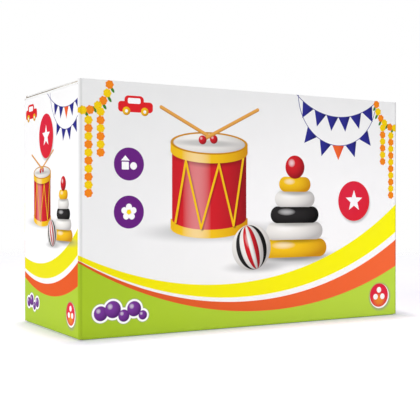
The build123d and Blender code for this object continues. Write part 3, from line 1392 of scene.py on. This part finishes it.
# %% Pennants and stars
STAR_TURN = math.pi / 5
STAR_NOTCH = 0.42
NOTCH_AHEAD = STAR_NOTCH * math.cos(STAR_TURN)
NOTCH_ASIDE = STAR_NOTCH * math.sin(STAR_TURN)
SIDE_LENGTH = math.hypot(NOTCH_ASIDE, 1 - NOTCH_AHEAD)


def pennant_outline(group, inside, x, y):
    """A pennant that hangs from the middle of its upper edge."""
    share = sums(group, "DIVIDE", y, inside["Drop"])
    room = times(group, plus(group, share, 1.0), inside["Half"])
    past_side = minus(group, sums(group, "ABSOLUTE", x), room)
    return sums(group, "MAXIMUM", past_side, y), sums(group, "DIVIDE", x, inside["Half"]), 0.0


def star_outline(group, inside, x, y):
    """A star of five points, folded onto one side of one point."""
    folded = sums(group, "PINGPONG", sums(group, "ARCTAN2", x, y), STAR_TURN)
    reach = span(group, x, y)
    ahead = times(group, reach, sums(group, "COSINE", folded))
    aside = times(group, reach, sums(group, "SINE", folded))
    short_part = times(group, minus(group, ahead, inside["Radius"]), NOTCH_ASIDE / SIDE_LENGTH)
    aside_part = times(group, aside, (1 - NOTCH_AHEAD) / SIDE_LENGTH)
    return plus(group, short_part, aside_part), 0.0, 0.0


make_mark("pennant", pennant_outline, Half=(FLOAT, 1.0), Drop=(FLOAT, 2.0))
make_mark("star", star_outline, Radius=(FLOAT, 1.0))
print("marks:", ", ".join(MARKS))

# %% [markdown]
# ## Marigolds
# A garland of yellow and orange marigolds hangs at both upper corners, an old festive pattern for doorways.
# A flower is a disc with a ruffled rim and rings of darker petals. A string repeats it downwards: the height
# is cut into equal steps, and each step draws the flower about its own middle, yellow and orange by turns.

# %% Groups for a marigold and a string of them
MARIGOLD_YELLOW = ink_colour("FBD808")
MARIGOLD_GOLD = ink_colour("E0AC04")
MARIGOLD_ORANGE = ink_colour("FA8E18")
MARIGOLD_RUST = ink_colour("E4690C")
FLOWER_RADIUS = 4.1
STRING_PITCH = 7.0
RUFFLES = 7.0
RUFFLE_DEPTH = 0.26
RIM_INSET = 0.3
RIM_SHARPNESS = 2.0
SWIRL_RINGS = 4.4
SWIRL_ARMS = 3.0
PETAL_SHADE = 0.35
RIM_SHADE = 0.5
FLOWER_INPUTS = {
    **INK_INPUTS,
    "Centre": (VECTOR, (0, 0, 0)),
    "Orange": (FLOAT, 0.0),
}
STRING_INPUTS = {**FLOWER_INPUTS, "Count": (FLOAT, 5.0)}


def draw_marigold(group, inside, outside, x, y, orange):
    """Lays one flower about the middle that the place is measured from."""
    reach = span(group, x, y)
    angle = sums(group, "ARCTAN2", y, x)
    ruffle = times(group, sums(group, "COSINE", times(group, angle, RUFFLES)), RUFFLE_DEPTH)
    rim = minus(group, plus(group, reach, ruffle), FLOWER_RADIUS - RIM_INSET)
    mask = limited(group, minus(group, 0.5, times(group, rim, RIM_SHARPNESS)))
    swirl = plus(group, times(group, reach, SWIRL_RINGS), times(group, angle, SWIRL_ARMS))
    petals = times(group, sums(group, "SINE", swirl), PETAL_SHADE)
    rim_dark = times(group, times(group, reach, reach), RIM_SHADE / FLOWER_RADIUS ** 2)
    shade = limited(group, plus(group, petals, rim_dark))
    yellow = blend_colours(group, shade, MARIGOLD_YELLOW, MARIGOLD_GOLD)
    rust = blend_colours(group, shade, MARIGOLD_ORANGE, MARIGOLD_RUST)
    flower = blend_colours(group, orange, yellow, rust)
    wire(group, outside["Color"], blend_colours(group, mask, inside["Under"], flower))


group, inside, outside = new_group("ink marigold", FLOWER_INPUTS, {"Color": COLOR})
x, y = from_centre(group, inside)
draw_marigold(group, inside, outside, x, y, inside["Orange"])
MARKS["marigold"] = group

group, inside, outside = new_group("ink marigold string", STRING_INPUTS, {"Color": COLOR})
x, y = from_centre(group, inside)
down = times(group, y, -1 / STRING_PITCH)
last = minus(group, inside["Count"], 1.0)
step = sums(group, "MINIMUM", sums(group, "MAXIMUM", sums(group, "ROUND", down), 0.0), last)
own_y = plus(group, y, times(group, step, STRING_PITCH))
turns = sums(group, "MODULO", plus(group, step, inside["Orange"]), 2.0)
draw_marigold(group, inside, outside, x, own_y, turns)
MARKS["marigold string"] = group
print("flowers", 2 * FLOWER_RADIUS, "mm across")

# %% [markdown]
# ## The toy picture
# The large faces show toys: a red drum with yellow hoops and laces, a stack of rings and a striped ball.
# The picture is one group of marks, laid from the back to the front, so that it can be printed on several
# faces and at other sizes. Soft grey patches below the toys stand for their shadows.
# Each toy is a generator of marks, in millimetres on the long wall. A loop could draw all three, but a toy
# on its own is easier to change.

# %% Paints and helpers for a picture
def paint(ink, dark):
    """A paint: its ink, and how dark it gets on the side away from the light."""
    return dict(ink=ink_colour(ink), dark=ink_colour(dark))


RED = paint("D8202A", "8E0E18")
YELLOW = paint("F8C81C", "C98A0A")
IVORY = paint("F7F5F0", "B9B6B4")
CHARCOAL = paint("2A2829", "000000")
WOOD = paint("E9A94F", "A96A22")
SHADOW = ink_colour("8C8C8C")
# how a mark is shaded across and up
LIKE_CAN = (1, 0)
LIKE_BALL = (1, 1)
LIKE_ROD = (0, 1)
SHARP = 0.1


def spot(centre, radius, **finish):
    """A round disc."""
    return "disc", dict(centre=centre, radii=(radius, radius), **finish)


def soft_patch(centre, radii, soft, strength, ink=SHADOW):
    """A patch that fades out, for a shadow or a glow."""
    return "disc", dict(centre=centre, radii=radii, ink=ink, soft=soft, strength=strength)


print("paints and patches ready")

# %% The drum
DRUM_X = -50
DRUM_HALF = 40
DRUM_LOW = 104
DRUM_HIGH = 168
HOOP_HALF = 41.5
HOOP_TALL = 8
LOWER_HOOP = DRUM_LOW - HOOP_TALL
UPPER_HOOP = DRUM_HIGH - 2
RIM_TALL = 10.5
SKIN_RADII = (38.5, 9)
LACES = (-66, -40, -14, 14, 40, 66)
LACE_HALF = 1.1
LACE_FOOT = DRUM_LOW + 1
LACE_TOP = DRUM_HIGH - 3
LACE_SHADE = (1.3, -0.8)
STICK_HALF = 1.7
TIP_RADIUS = 4.2
STICKS = (
    # free end, run, middle of the tip
    ((-101, 205), (55, -27), (-46, 178)),
    ((3, 208), (-61, -31), (-58, 177)),
)


def hoop_marks(low):
    """A hoop, from the height of its lower rim."""
    finish = dict(round=LIKE_CAN, gloss=0.3, **YELLOW)
    middle = (DRUM_X, low + HOOP_TALL / 2)
    yield "disc", dict(centre=(DRUM_X, low), radii=(HOOP_HALF, RIM_TALL), **finish)
    yield "block", dict(centre=middle, size=(HOOP_HALF, HOOP_TALL / 2), corner=SHARP, **finish)


def lace_end(angle, level):
    """Where a lace meets a hoop, at an angle round the drum."""
    turn = math.radians(angle)
    return DRUM_X + DRUM_HALF * math.sin(turn), level - RIM_TALL * math.cos(turn)


def lace_marks():
    """The laces, up and down by turns, each over its shadow."""
    levels = (LACE_FOOT, LACE_TOP) * len(LACES)
    ends = [lace_end(angle, level) for angle, level in zip(LACES, levels)]
    for (x, y), (next_x, next_y) in zip(ends, ends[1:]):
        run = (next_x - x, next_y - y)
        shade = (x + LACE_SHADE[0], y + LACE_SHADE[1])
        yield "bar", dict(centre=shade, run=run, half=1.2, ink=BLACK, soft=2.4, strength=0.4)
        yield "bar", dict(centre=(x, y), run=run, half=LACE_HALF, round=LIKE_ROD, **YELLOW)


def drum_marks():
    """The drum, from its shadow to the sticks on its skin."""
    finish = dict(round=LIKE_CAN, gloss=0.22, **RED)
    middle = (DRUM_X, (DRUM_LOW + DRUM_HIGH) / 2)
    half_size = (DRUM_HALF, (DRUM_HIGH - DRUM_LOW) / 2)
    top = (DRUM_X, UPPER_HOOP + HOOP_TALL)
    yield soft_patch((DRUM_X + 8, 92), (62, 8), soft=9, strength=0.55)
    yield from hoop_marks(LOWER_HOOP)
    yield "disc", dict(centre=(DRUM_X, DRUM_LOW), radii=(DRUM_HALF, RIM_TALL), **finish)
    yield "block", dict(centre=middle, size=half_size, corner=SHARP, **finish)
    yield soft_patch((DRUM_X, DRUM_HIGH - 4.5), (DRUM_HALF - 4, RIM_TALL), soft=6, strength=0.5, ink=BLACK)
    yield from lace_marks()
    yield from hoop_marks(UPPER_HOOP)
    yield "disc", dict(centre=top, radii=(HOOP_HALF, RIM_TALL), ink=YELLOW["dark"])
    yield "disc", dict(centre=top, radii=SKIN_RADII, round=(0.8, 0.4), **IVORY)
    yield soft_patch((DRUM_X - 4, 174), (30, 3), soft=3, strength=0.5)
    for start, run, tip in STICKS:
        yield "bar", dict(centre=start, run=run, half=STICK_HALF, round=LIKE_ROD, **WOOD)
        yield spot(tip, TIP_RADIUS, round=LIKE_BALL, gloss=0.5, **RED)


print("drum", 2 * DRUM_HALF, "mm wide")

# %% The stack of rings and the ball
STACK_X = 47
STACK = (
    # middle height, half width, half height, paint
    (74, 39, 9, YELLOW),
    (91, 34, 8.6, IVORY),
    (107, 29, 8.2, CHARCOAL),
    (122.5, 24, 7.8, IVORY),
    (137, 19, 7.4, YELLOW),
)
STACK_TOP = (STACK_X, 154)
STACK_TOP_RADIUS = 11.5
RING_FOOT = 0.82
BALL_PLACE = (-4, 76)
BALL_RADIUS = 22
BALL_TURN = 0.3
STRIPES = (
    # half width and paint; each lies on the one before
    (17, CHARCOAL),
    (12.5, IVORY),
    (7.5, RED),
    (2.6, IVORY),
)


def stack_marks():
    """The stack of rings, from its shadow to the ball on top."""
    yield soft_patch((STACK_X + 7, 64), (50, 6), soft=8, strength=0.55)
    for height, half, tall, finish in STACK:
        ring = dict(centre=(STACK_X, height), size=(half, tall), corner=tall - SHARP)
        yield soft_patch((STACK_X, height - tall), (RING_FOOT * half, 3.2), soft=4, strength=0.5, ink=BLACK)
        yield "block", dict(round=(1, 0.7), gloss=0.45, **ring, **finish)
    yield spot(STACK_TOP, STACK_TOP_RADIUS, round=LIKE_BALL, gloss=0.6, **RED)


def ball_marks():
    """The striped ball in front; its stripes are narrower and narrower discs."""
    shaded = dict(round=LIKE_BALL, gloss=0.3)
    yield soft_patch((2, 57), (27, 4.5), soft=6, strength=0.6)
    yield spot(BALL_PLACE, BALL_RADIUS, **shaded, **IVORY)
    for half, stripe in STRIPES:
        radii = (half, BALL_RADIUS - 0.3)
        yield "disc", dict(centre=BALL_PLACE, radii=radii, turn=BALL_TURN, **shaded, **stripe)


toys = (*drum_marks(), *stack_marks(), *ball_marks())
group, inside, outside = new_group("ink toy picture", INK_INPUTS, {"Color": COLOR})
picture = lay_all(group, inside["Under"], (inside["Across"], inside["Up"]), toys)
wire(group, outside["Color"], picture)
MARKS["toy picture"] = group
print("toy picture of", len(toys), "marks")

# %% [markdown]
# ## The small print
# Around the picture there are pennants on a string, a toy car, bubbles, and discs with plain signs.
# They are generators too, so that each face can ask for them at its own places and sizes.

# %% Pennants and car
NAVY = paint("2B2B8C", "17174F")
ORANGE = paint("F0672F", "D8202A")
TAG_RED = ink_colour("E01F26")
STRING_HALF = 0.35
CAR_HALF = 18
CAR_BODY = (
    # middle, half size, corner and ink of each block, for a car of that half width
    ((-1.5, 3), (10, 6), 4, TAG_RED),
    ((0, -1.5), (18, 5), 3.4, TAG_RED),
    ((-1.5, 4.2), (6.6, 2.6), 1.6, WHITE),
)
WHEELS = ((-9.5, -5.6), (9.5, -5.6))
WHEEL_RADIUS = 4
HUB_RADIUS = 1.5


def bunting(centre, radius, half_width, count, pennant):
    """Pennants on a string that hangs as the low part of a circle."""
    high = (centre[0], centre[1] + radius)
    yield "ring", dict(centre=high, radius=radius, half=STRING_HALF, ink=NAVY["ink"])
    for step in range(count):
        aside = half_width * (2 * step / (count - 1) - 1)
        lift = radius - math.sqrt(radius ** 2 - aside ** 2)
        finish = ORANGE if step == (count - 1) / 2 else NAVY
        place = dict(centre=(centre[0] + aside, centre[1] + lift), turn=math.asin(aside / radius))
        yield "pennant", dict(half=pennant, drop=2 * pennant, round=LIKE_CAN, **place, **finish)


def toy_car(centre, half_width):
    """A red toy car with a white window and yellow wheels."""
    unit = half_width / CAR_HALF

    def on_car(aside, above):
        """A place on the car, in millimetres on the face."""
        return centre[0] + aside * unit, centre[1] + above * unit

    for middle, (half, tall), corner, ink in CAR_BODY:
        size = (half * unit, tall * unit)
        yield "block", dict(centre=on_car(*middle), size=size, corner=corner * unit, ink=ink)
    for wheel in WHEELS:
        yield spot(on_car(*wheel), WHEEL_RADIUS * unit, round=LIKE_BALL, **YELLOW)
        yield spot(on_car(*wheel), HUB_RADIUS * unit, ink=WHITE)


print("pennants and car ready")

# %% Bubbles and discs
CRIMSON = paint("DF2540", "E01F26")
PURPLE = ink_colour("68217F")
VIOLET = paint("7B3A9A", "54206F")
GLOW = ink_colour("F6A01E")
BUBBLE_RIM = 1.8
BUBBLE_SHADE = 2.4
STAR_SHARE = 0.55
# dots of the glowing disc, as shares of its radius
DOTS = ((-0.36, -0.12), (0.36, -0.12), (0, 0.42))
DOT_SHARE = 0.23
PETALS = 5
PETAL_REACH = 4.6
PETAL_RADIUS = 2.9
FLOWER_EYE = 2.2


def bubbles(spots):
    """Violet bubbles with broad white rims."""
    for x, y, radius in spots:
        shade = radius + BUBBLE_SHADE
        yield soft_patch((x, y), (shade, shade), soft=1.6, strength=0.5)
    for x, y, radius in spots:
        yield spot((x, y), radius + BUBBLE_RIM, ink=WHITE)
    for x, y, radius in spots:
        yield spot((x, y), radius, round=LIKE_BALL, gloss=0.5, **VIOLET)


def star_disc(centre, radii):
    """A red disc with a soft shadow and a white star."""
    yield soft_patch((centre[0] + 1, centre[1] - 2), radii, soft=4, strength=0.6)
    yield "disc", dict(centre=centre, radii=radii, round=(0.5, 0.5), **CRIMSON)
    yield "star", dict(centre=centre, radius=STAR_SHARE * min(radii), ink=WHITE)


def glowing_disc(centre, radius):
    """A crimson disc with an orange glow, three white dots and a white rim at its lower right."""
    x, y = centre
    glow = dict(radii=(0.5 * radius, 0.4 * radius), soft=0.6 * radius, strength=0.7, ink=GLOW)
    yield soft_patch((x + 1, y - 1.6), (radius + 1.5, radius + 1.5), soft=3.5, strength=0.6)
    yield spot((x + 0.6, y - 0.9), radius, ink=WHITE)
    yield spot(centre, radius - 0.7, ink=CRIMSON["ink"])
    yield soft_patch((x, y - 0.4 * radius), **glow)
    for aside, above in DOTS:
        yield spot((x + aside * radius, y + above * radius), DOT_SHARE * radius, ink=WHITE)


def sign_discs(spots, radius):
    """Two purple discs: one with a house and a ball, one with a flower."""
    for centre in spots:
        yield spot(centre, radius, ink=PURPLE)
    (house_x, house_y), (x, y) = spots
    yield "block", dict(centre=(house_x - 3.6, house_y - 1.5), size=(3.4, 3.4), corner=0.6, ink=WHITE)
    yield spot((house_x + 4.4, house_y - 1.6), 3.3, ink=WHITE)
    roof = dict(centre=(house_x - 3.6, house_y + 3), turn=math.pi, half=4.2, drop=4.6)
    yield "pennant", dict(ink=WHITE, **roof)
    for petal in range(PETALS):
        angle = 2 * math.pi * petal / PETALS + math.pi / 2
        tip = (x + PETAL_REACH * math.cos(angle), y + PETAL_REACH * math.sin(angle))
        yield spot(tip, PETAL_RADIUS, ink=WHITE)
    yield spot((x, y), FLOWER_EYE, ink=MARIGOLD_YELLOW)


print("bubbles and discs ready")

# %% [markdown]
# ## Bands and garlands
# Three sweeping bands, yellow, orange and green, run round the lower part of the walls, with a white line
# between the first two. The edge of each band is a part of a large circle, so a band is all that lies beyond
# its circle, and the next band is laid over it.

# %% Bands and garlands
BAND_GREEN = ink_colour("A7C628")
BAND_INKS = (
    # at the left and the right of a long wall, and on the ends
    (ink_colour("F0E300"), ink_colour("FFFA10"), ink_colour("EDE500")),
    (ink_colour("F0F0F0"), WHITE, ink_colour("F6F6F6")),
    (ink_colour("D65420"), ink_colour("F86A38"), ink_colour("E55818")),
    (BAND_GREEN, ink_colour("BDDC47"), ink_colour("AFCD32")),
)
LONG_BANDS = (
    # middle across, middle height and radius, on the long walls
    (-36.8, 385.9, 343.9),
    (-17.2, 381.6, 352.6),
    (-10.5, 373.4, 348.8),
    (12.6, 396.6, 382.2),
)
END_BANDS = (
    # the same on the ends
    (-34.0, 232.7, 172.0),
    (-23.0, 226.2, 179.1),
    (-18.7, 215.8, 173.4),
    (-2.4, 224.0, 192.0),
)
GARLAND = (
    # across, height, orange; mirrored on the other side
    (151.5, 221.9, 1),
    (153.7, 214.3, 0),
    (157.5, 207.6, 1),
    (162.5, 203, 0),
    (160, 197.7, 0),
    (169.9, 198.9, 1),
    (176.7, 198.3, 0),
)
GARLAND_STRINGS = (
    # across, height of the first flower, count, orange first
    (171.3, 190, 10, 0),
    (160, 190.4, 5, 1),
)
LEAVES = ((148.9, 217.6), (151.6, 209.2), (156.4, 202.6), (165.6, 199.4), (173.2, 195.2))
LEAF_RADII = (3.1, 1.3)
LEAF_TURN = 1.0
LEAF_GREEN = ink_colour("3E7F24")


def band_marks(bands, inks):
    """The bands, from the yellow one down to the green."""
    for (across, height, radius), ink in zip(bands, inks):
        yield "beyond", dict(centre=(across, height), radius=radius, ink=ink, soft=0.5)


def garland_marks():
    """One corner's garland, drawn where the distance from the middle is positive."""
    for leaf in LEAVES:
        yield "disc", dict(centre=leaf, radii=LEAF_RADII, turn=LEAF_TURN, ink=LEAF_GREEN)
    for x, y, orange in GARLAND:
        yield "marigold", dict(centre=(x, y), orange=float(orange))
    for x, y, count, orange in GARLAND_STRINGS:
        yield "marigold string", dict(centre=(x, y), count=float(count), orange=float(orange))


print(len(LONG_BANDS), "bands and", len(GARLAND), "single flowers")

# %% [markdown]
# ## Printed paper
# A printed face is white paper with ink and a thin satin varnish. The flutes show through it as a faint
# washboard, and the rounded upright corner folds get a painted shade, a little grey.
# One function makes all the printed materials. Each asks for its own art.

# %% Helpers for a printed material
WALL_AXES = {
    # the numbers of the place that are u and v, and the sign of u
    "front": ("X", "Z", 1),
    "back": ("X", "Z", -1),
    "left": ("Y", "Z", -1),
    "right": ("Y", "Z", 1),
    "top": ("X", "Y", 1),
}
# painted shade on the rounded upright corners: a grey multiplied over the print
FOLD_PAINTED_SHADE = ink_colour("E2E2E2")
# where the painted shade of the corner folds starts, in millimetres, and how fast it comes in
FOLD_SHADE_START_X = FOLD_X / MM - 0.4
FOLD_SHADE_START_Y = FOLD_Y / MM
FOLD_SHADE_RATE_X = 0.8
FOLD_SHADE_RATE_Y = 0.4
PRINT_CLOUD = 0.04
PRINT_ROUGHNESS = 0.4
PRINT_ROUGH_SPREAD = 0.12
PRINT_SPECULAR = 0.015
VARNISH = 0.03
VARNISH_ROUGHNESS = 0.22
PRINT_RIDGES = 0.35
PRINT_FIBRES = 0.2
PRINT_BUMP = 0.05 * MM
PRINT_BUMP_STRENGTH = 0.35


def paint_fold_shade(tree, numbers, inked):
    """Paints shade over the print at the upright corner folds."""
    past_x = minus(tree, sums(tree, "ABSOLUTE", numbers["X"]), FOLD_SHADE_START_X)
    past_y = minus(tree, sums(tree, "ABSOLUTE", numbers["Y"]), FOLD_SHADE_START_Y)
    near_x = limited(tree, times(tree, past_x, FOLD_SHADE_RATE_X))
    near_y = limited(tree, times(tree, past_y, FOLD_SHADE_RATE_Y))
    return blend_colours(tree, times(tree, near_x, near_y), inked, FOLD_PAINTED_SHADE, way="MULTIPLY")


def make_printed(name, facing, art, across, along):
    """Printed paper for one face; art lays its marks on the ground colour."""
    material, tree, shader = start_material(name)
    place = place_in_mm(tree)
    paper = add_paper(tree, place, across, along)
    numbers = apart(tree, place)
    u_name, v_name, sign = WALL_AXES[facing]
    u = numbers[u_name] if sign > 0 else times(tree, numbers[u_name], -1.0)
    face_place = (u, numbers[v_name])
    mirror_place = (sums(tree, "ABSOLUTE", u), numbers[v_name])
    # painted shade over the print at the corner folds
    folded = paint_fold_shade(tree, numbers, art(tree, face_place, mirror_place))
    clouded = blend_colours(tree, times(tree, paper["Cloud"], PRINT_CLOUD), folded, SHADOW)
    wire(tree, shader.inputs["Base Color"], clouded)
    rough = sums(tree, "MULTIPLY_ADD", paper["Fibres"], PRINT_ROUGH_SPREAD, PRINT_ROUGHNESS)
    wire(tree, shader.inputs["Roughness"], rough)
    shader.inputs["Specular IOR Level"].default_value = PRINT_SPECULAR
    shader.inputs["Coat Weight"].default_value = VARNISH
    shader.inputs["Coat Roughness"].default_value = VARNISH_ROUGHNESS
    fibres = times(tree, paper["Fibres"], PRINT_FIBRES)
    height = sums(tree, "MULTIPLY_ADD", paper["Ridges"], PRINT_RIDGES, fibres)
    add_bump(tree, shader, height, PRINT_BUMP, PRINT_BUMP_STRENGTH)
    return material


def print_on(material, *names):
    """Gives the printed faces of some panels their material."""
    for name in names:
        prints[name].material_slots[0].material = material


print("printed faces:", ", ".join(WALL_AXES))

# %% [markdown]
# ## The art of each face
# The front has it all: picture, pennants, car, discs, bubbles, garlands and bands. The back, which faces a
# wall in the shop, has the picture, the pennants and the pattern alone. Both ends carry a smaller set, and
# so does the lid. The flaps are plain.

# %% Art of the front and the back
GROUND = ink_colour("EEEFEE")
GROUND_PAINTED_LIGHT = ink_colour("FDFDFD")
# painted light: a soft pool where the grey ground is paler, and white on the outer part of each corner fold, which
# also meets the white ground of the ends
PAINTED_LIGHT_POOL = dict(centre=(105, 108), radii=(190, 95), soft=150)
FOLD_PAINTED_LIGHT = dict(centre=(190, 113), size=(11, 200), soft=2.5)
LONG_BUNTING = (
    # lowest point, radius and half width of a string, how many pennants, half width of each
    ((101, 206), 78, 38, 6, 7.4),
    ((101, 177), 50, 33, 5, 7.4),
)
FRONT_CAR = ((-126.4, 205), 17)
SIGN_SPOTS = ((-132.9, 152.9), (-133, 110.4))
SIGN_RADIUS = 14.6
FRONT_STAR = ((121.5, 120.7), (20.5, 20.5))
FRONT_BUBBLES = ((-160, 22, 6.5), (-148.5, 25, 7.6), (-138, 19, 5.4), (-128, 24.5, 6.8), (-119.5, 18.5, 4.2))
FRONT_GLOW = ((155.2, 22), 13)


def lay_bunting(tree, colour, place, strings):
    """Lays some strings of pennants."""
    for string in strings:
        colour = lay_all(tree, colour, place, bunting(*string))
    return colour


def long_art(tree, place, mirror_place):
    """What both long walls carry. The bands' inks get lighter to the right."""
    to_right = sums(tree, "MULTIPLY_ADD", place[0], 0.5 * MM / HALF_WIDTH, 0.5)
    inks = [blend_colours(tree, to_right, left, right) for left, right, end in BAND_INKS]
    # painted light: a paler pool on the ground, and white on the outer part of the corner folds
    colour = lay(tree, GROUND, place, "disc", ink=GROUND_PAINTED_LIGHT, **PAINTED_LIGHT_POOL)
    colour = lay(tree, colour, mirror_place, "block", ink=WHITE, **FOLD_PAINTED_LIGHT)
    colour = lay(tree, colour, place, "toy picture")
    colour = lay_all(tree, colour, place, band_marks(LONG_BANDS, inks))
    colour = lay_bunting(tree, colour, place, LONG_BUNTING)
    return lay_all(tree, colour, mirror_place, garland_marks())


def front_art(tree, place, mirror_place):
    """The front adds the car, the discs and the bubbles."""
    colour = long_art(tree, place, mirror_place)
    colour = lay_all(tree, colour, place, toy_car(*FRONT_CAR))
    colour = lay_all(tree, colour, place, sign_discs(SIGN_SPOTS, SIGN_RADIUS))
    colour = lay_all(tree, colour, place, star_disc(*FRONT_STAR))
    colour = lay_all(tree, colour, place, bubbles(FRONT_BUBBLES))
    return lay_all(tree, colour, place, glowing_disc(*FRONT_GLOW))


print_on(make_printed("printed front", "front", front_art, X_AXIS, Z_AXIS), "front")
print_on(make_printed("printed back", "back", long_art, X_AXIS, Z_AXIS), "back")
print("long walls printed")

# %% Art of the two ends
PICTURE_MIDDLE = (-5, 130)
END_PICTURE_SCALE = 0.58
END_PICTURE_MIDDLE = (6, 122)
END_BUNTING = (
    # as on the long walls
    ((44, 204), 80, 26, 5, 5.4),
    ((44, 184), 42, 20, 4, 5.4),
)
END_CAR = ((-51, 207), 16.5)
END_STAR = ((-9.1, 181.5), (19.3, 21))
END_BUBBLES = ((-59, 21, 4.8), (-50.5, 23.5, 5.4), (-42.5, 18.5, 3.9), (-34.5, 22.5, 4.8))
END_GLOW = ((53.7, 20.9), 11)


def lay_picture(tree, colour, place, scale, middle):
    """Lays the toy picture at another size and place."""
    shifts = [there - here / scale for here, there in zip(middle, PICTURE_MIDDLE)]
    grown = [sums(tree, "MULTIPLY_ADD", number, 1 / scale, shift) for number, shift in zip(place, shifts)]
    return lay(tree, colour, grown, "toy picture")


def end_art(tree, place, mirror_place):
    """The ends carry the same things, smaller."""
    inks = [end for left, right, end in BAND_INKS]
    colour = lay_all(tree, WHITE, place, band_marks(END_BANDS, inks))
    colour = lay_bunting(tree, colour, place, END_BUNTING)
    colour = lay_picture(tree, colour, place, END_PICTURE_SCALE, END_PICTURE_MIDDLE)
    colour = lay_all(tree, colour, place, toy_car(*END_CAR))
    colour = lay_all(tree, colour, place, star_disc(*END_STAR))
    colour = lay_all(tree, colour, place, bubbles(END_BUBBLES))
    return lay_all(tree, colour, place, glowing_disc(*END_GLOW))


print_on(make_printed("printed left end", "left", end_art, Y_AXIS, Z_AXIS), "left_end")
print_on(make_printed("printed right end", "right", end_art, Y_AXIS, Z_AXIS), "right_end")
print("ends printed")

# %% Art of the lid
LID_PAPER = ink_colour("EEEEEE")
LID_PICTURE_SCALE = 0.62
LID_PICTURE_MIDDLE = (0, -8)
LID_BUNTING = (((112, 46), 78, 38, 6, 7.4),)
LID_STAR = ((-112, -16), (20.5, 20.5))
LID_CAR = ((112, -14), 24)


def lid_art(tree, place, mirror_place):
    """The toys between two strings of pennants that hang from the rear crease."""
    colour = lay_picture(tree, LID_PAPER, place, LID_PICTURE_SCALE, LID_PICTURE_MIDDLE)
    colour = lay_bunting(tree, colour, mirror_place, LID_BUNTING)
    colour = lay_all(tree, colour, place, star_disc(*LID_STAR))
    return lay_all(tree, colour, place, toy_car(*LID_CAR))


print_on(make_printed("printed lid", "top", lid_art, X_AXIS, Y_AXIS), "lid")
print("lid printed")

# %% Plain faces
FLAP_PAPER = ink_colour("F8F8F8")


def plain_art(ink):
    """Art of one ink all over."""
    def art(tree, place, mirror_place):
        return ink

    return art


lid_white = make_printed("white, flutes front to back", "top", plain_art(LID_PAPER), X_AXIS, Y_AXIS)
flap_white = make_printed("white, flutes side to side", "top", plain_art(FLAP_PAPER), Y_AXIS, X_AXIS)
bottom_green = make_printed("green, flutes front to back", "top", plain_art(BAND_GREEN), X_AXIS, Y_AXIS)
flap_green = make_printed("green, flutes side to side", "top", plain_art(BAND_GREEN), Y_AXIS, X_AXIS)
print_on(lid_white, "tuck_tab")
print_on(flap_white, "left_dust_flap", "right_dust_flap")
print_on(bottom_green, "bottom_front", "bottom_back")
print_on(flap_green, "bottom_left", "bottom_right")
for name, strip in creases.items():
    strip.material_slots[0].material = flap_white if "flap" in name else lid_white
print("plain faces in white and green")

# %% [markdown]
# ## Hanging the pieces on the frame
# Each sheet moves with the body whose panel it dresses, and stands for that panel, which is then hidden.
# The crease strips hang on two bodies and bend between them.

# %% Ride, replace and name the finishes
PANELS = {
    # piece: node, body
    "front": ("front_panel", "carton"),
    "back": ("back_panel", "carton"),
    "left_end": ("left_end_panel", "carton"),
    "right_end": ("right_end_panel", "carton"),
    "glue_flap": ("glue_flap", "carton"),
    "lid": ("lid", "lid"),
    "tuck_tab": ("tuck_tab", "tuck"),
    "left_dust_flap": ("left_dust_flap", "left_flap"),
    "right_dust_flap": ("right_dust_flap", "right_flap"),
    "bottom_front": ("bottom_front_flap", "carton"),
    "bottom_back": ("bottom_back_flap", "carton"),
    "bottom_left": ("bottom_left_flap", "carton"),
    "bottom_right": ("bottom_right_flap", "carton"),
}
for name, (node, body) in PANELS.items():
    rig.ride(boards[name], body)
    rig.slot(boards[name], "kraft_board")
    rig.replaces(boards[name], node)
    if name in prints:
        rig.ride(prints[name], body)
        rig.slot(prints[name], "printed_liner")
        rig.replaces(prints[name], node)

CREASE_ENDS = {
    # strip: the two bodies, and where it leaves the one and reaches the other
    "lid_crease_strip": ("carton", "lid", (0, HALF_DEPTH, BACK_TOP), (0, FOLD_Y, HEIGHT)),
    "tuck_crease_strip": (
        "lid", "tuck", (0, LID_FRONT, HEIGHT), (0, LID_FRONT - TUCK_RADIUS, HEIGHT - FOLD),
    ),
    "left_flap_crease_strip": (
        "carton", "left_flap", (-HALF_WIDTH, 0, END_TOP), (-FOLD_X, 0, FLAP_TOP),
    ),
    "right_flap_crease_strip": (
        "carton", "right_flap", (HALF_WIDTH, 0, END_TOP), (FOLD_X, 0, FLAP_TOP),
    ),
}
for name, (first, second, start, end) in CREASE_ENDS.items():
    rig.blend(creases[name], first, second, start=start, end=end)
    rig.slot(creases[name], "printed_liner")
print(len(prints) + len(boards) + len(creases), "pieces on", len(frame["bodies"]), "bodies")

# %% [markdown]
# ## The two boxes
# The dressed carton may not be larger than the frame. The box of the frame and that of the dressed
# carton are written down, so that they can be compared.

# %% Write the two boxes and finish
visual_low, visual_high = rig.bounds()
boxes = {"cad": [list(cad_low), list(cad_high)], "visual": [list(visual_low), list(visual_high)]}
with open("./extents.json", "w") as size_file:
    json.dump(boxes, size_file)
print("visual box", [round(value / MM, 2) for value in (*visual_low, *visual_high)])
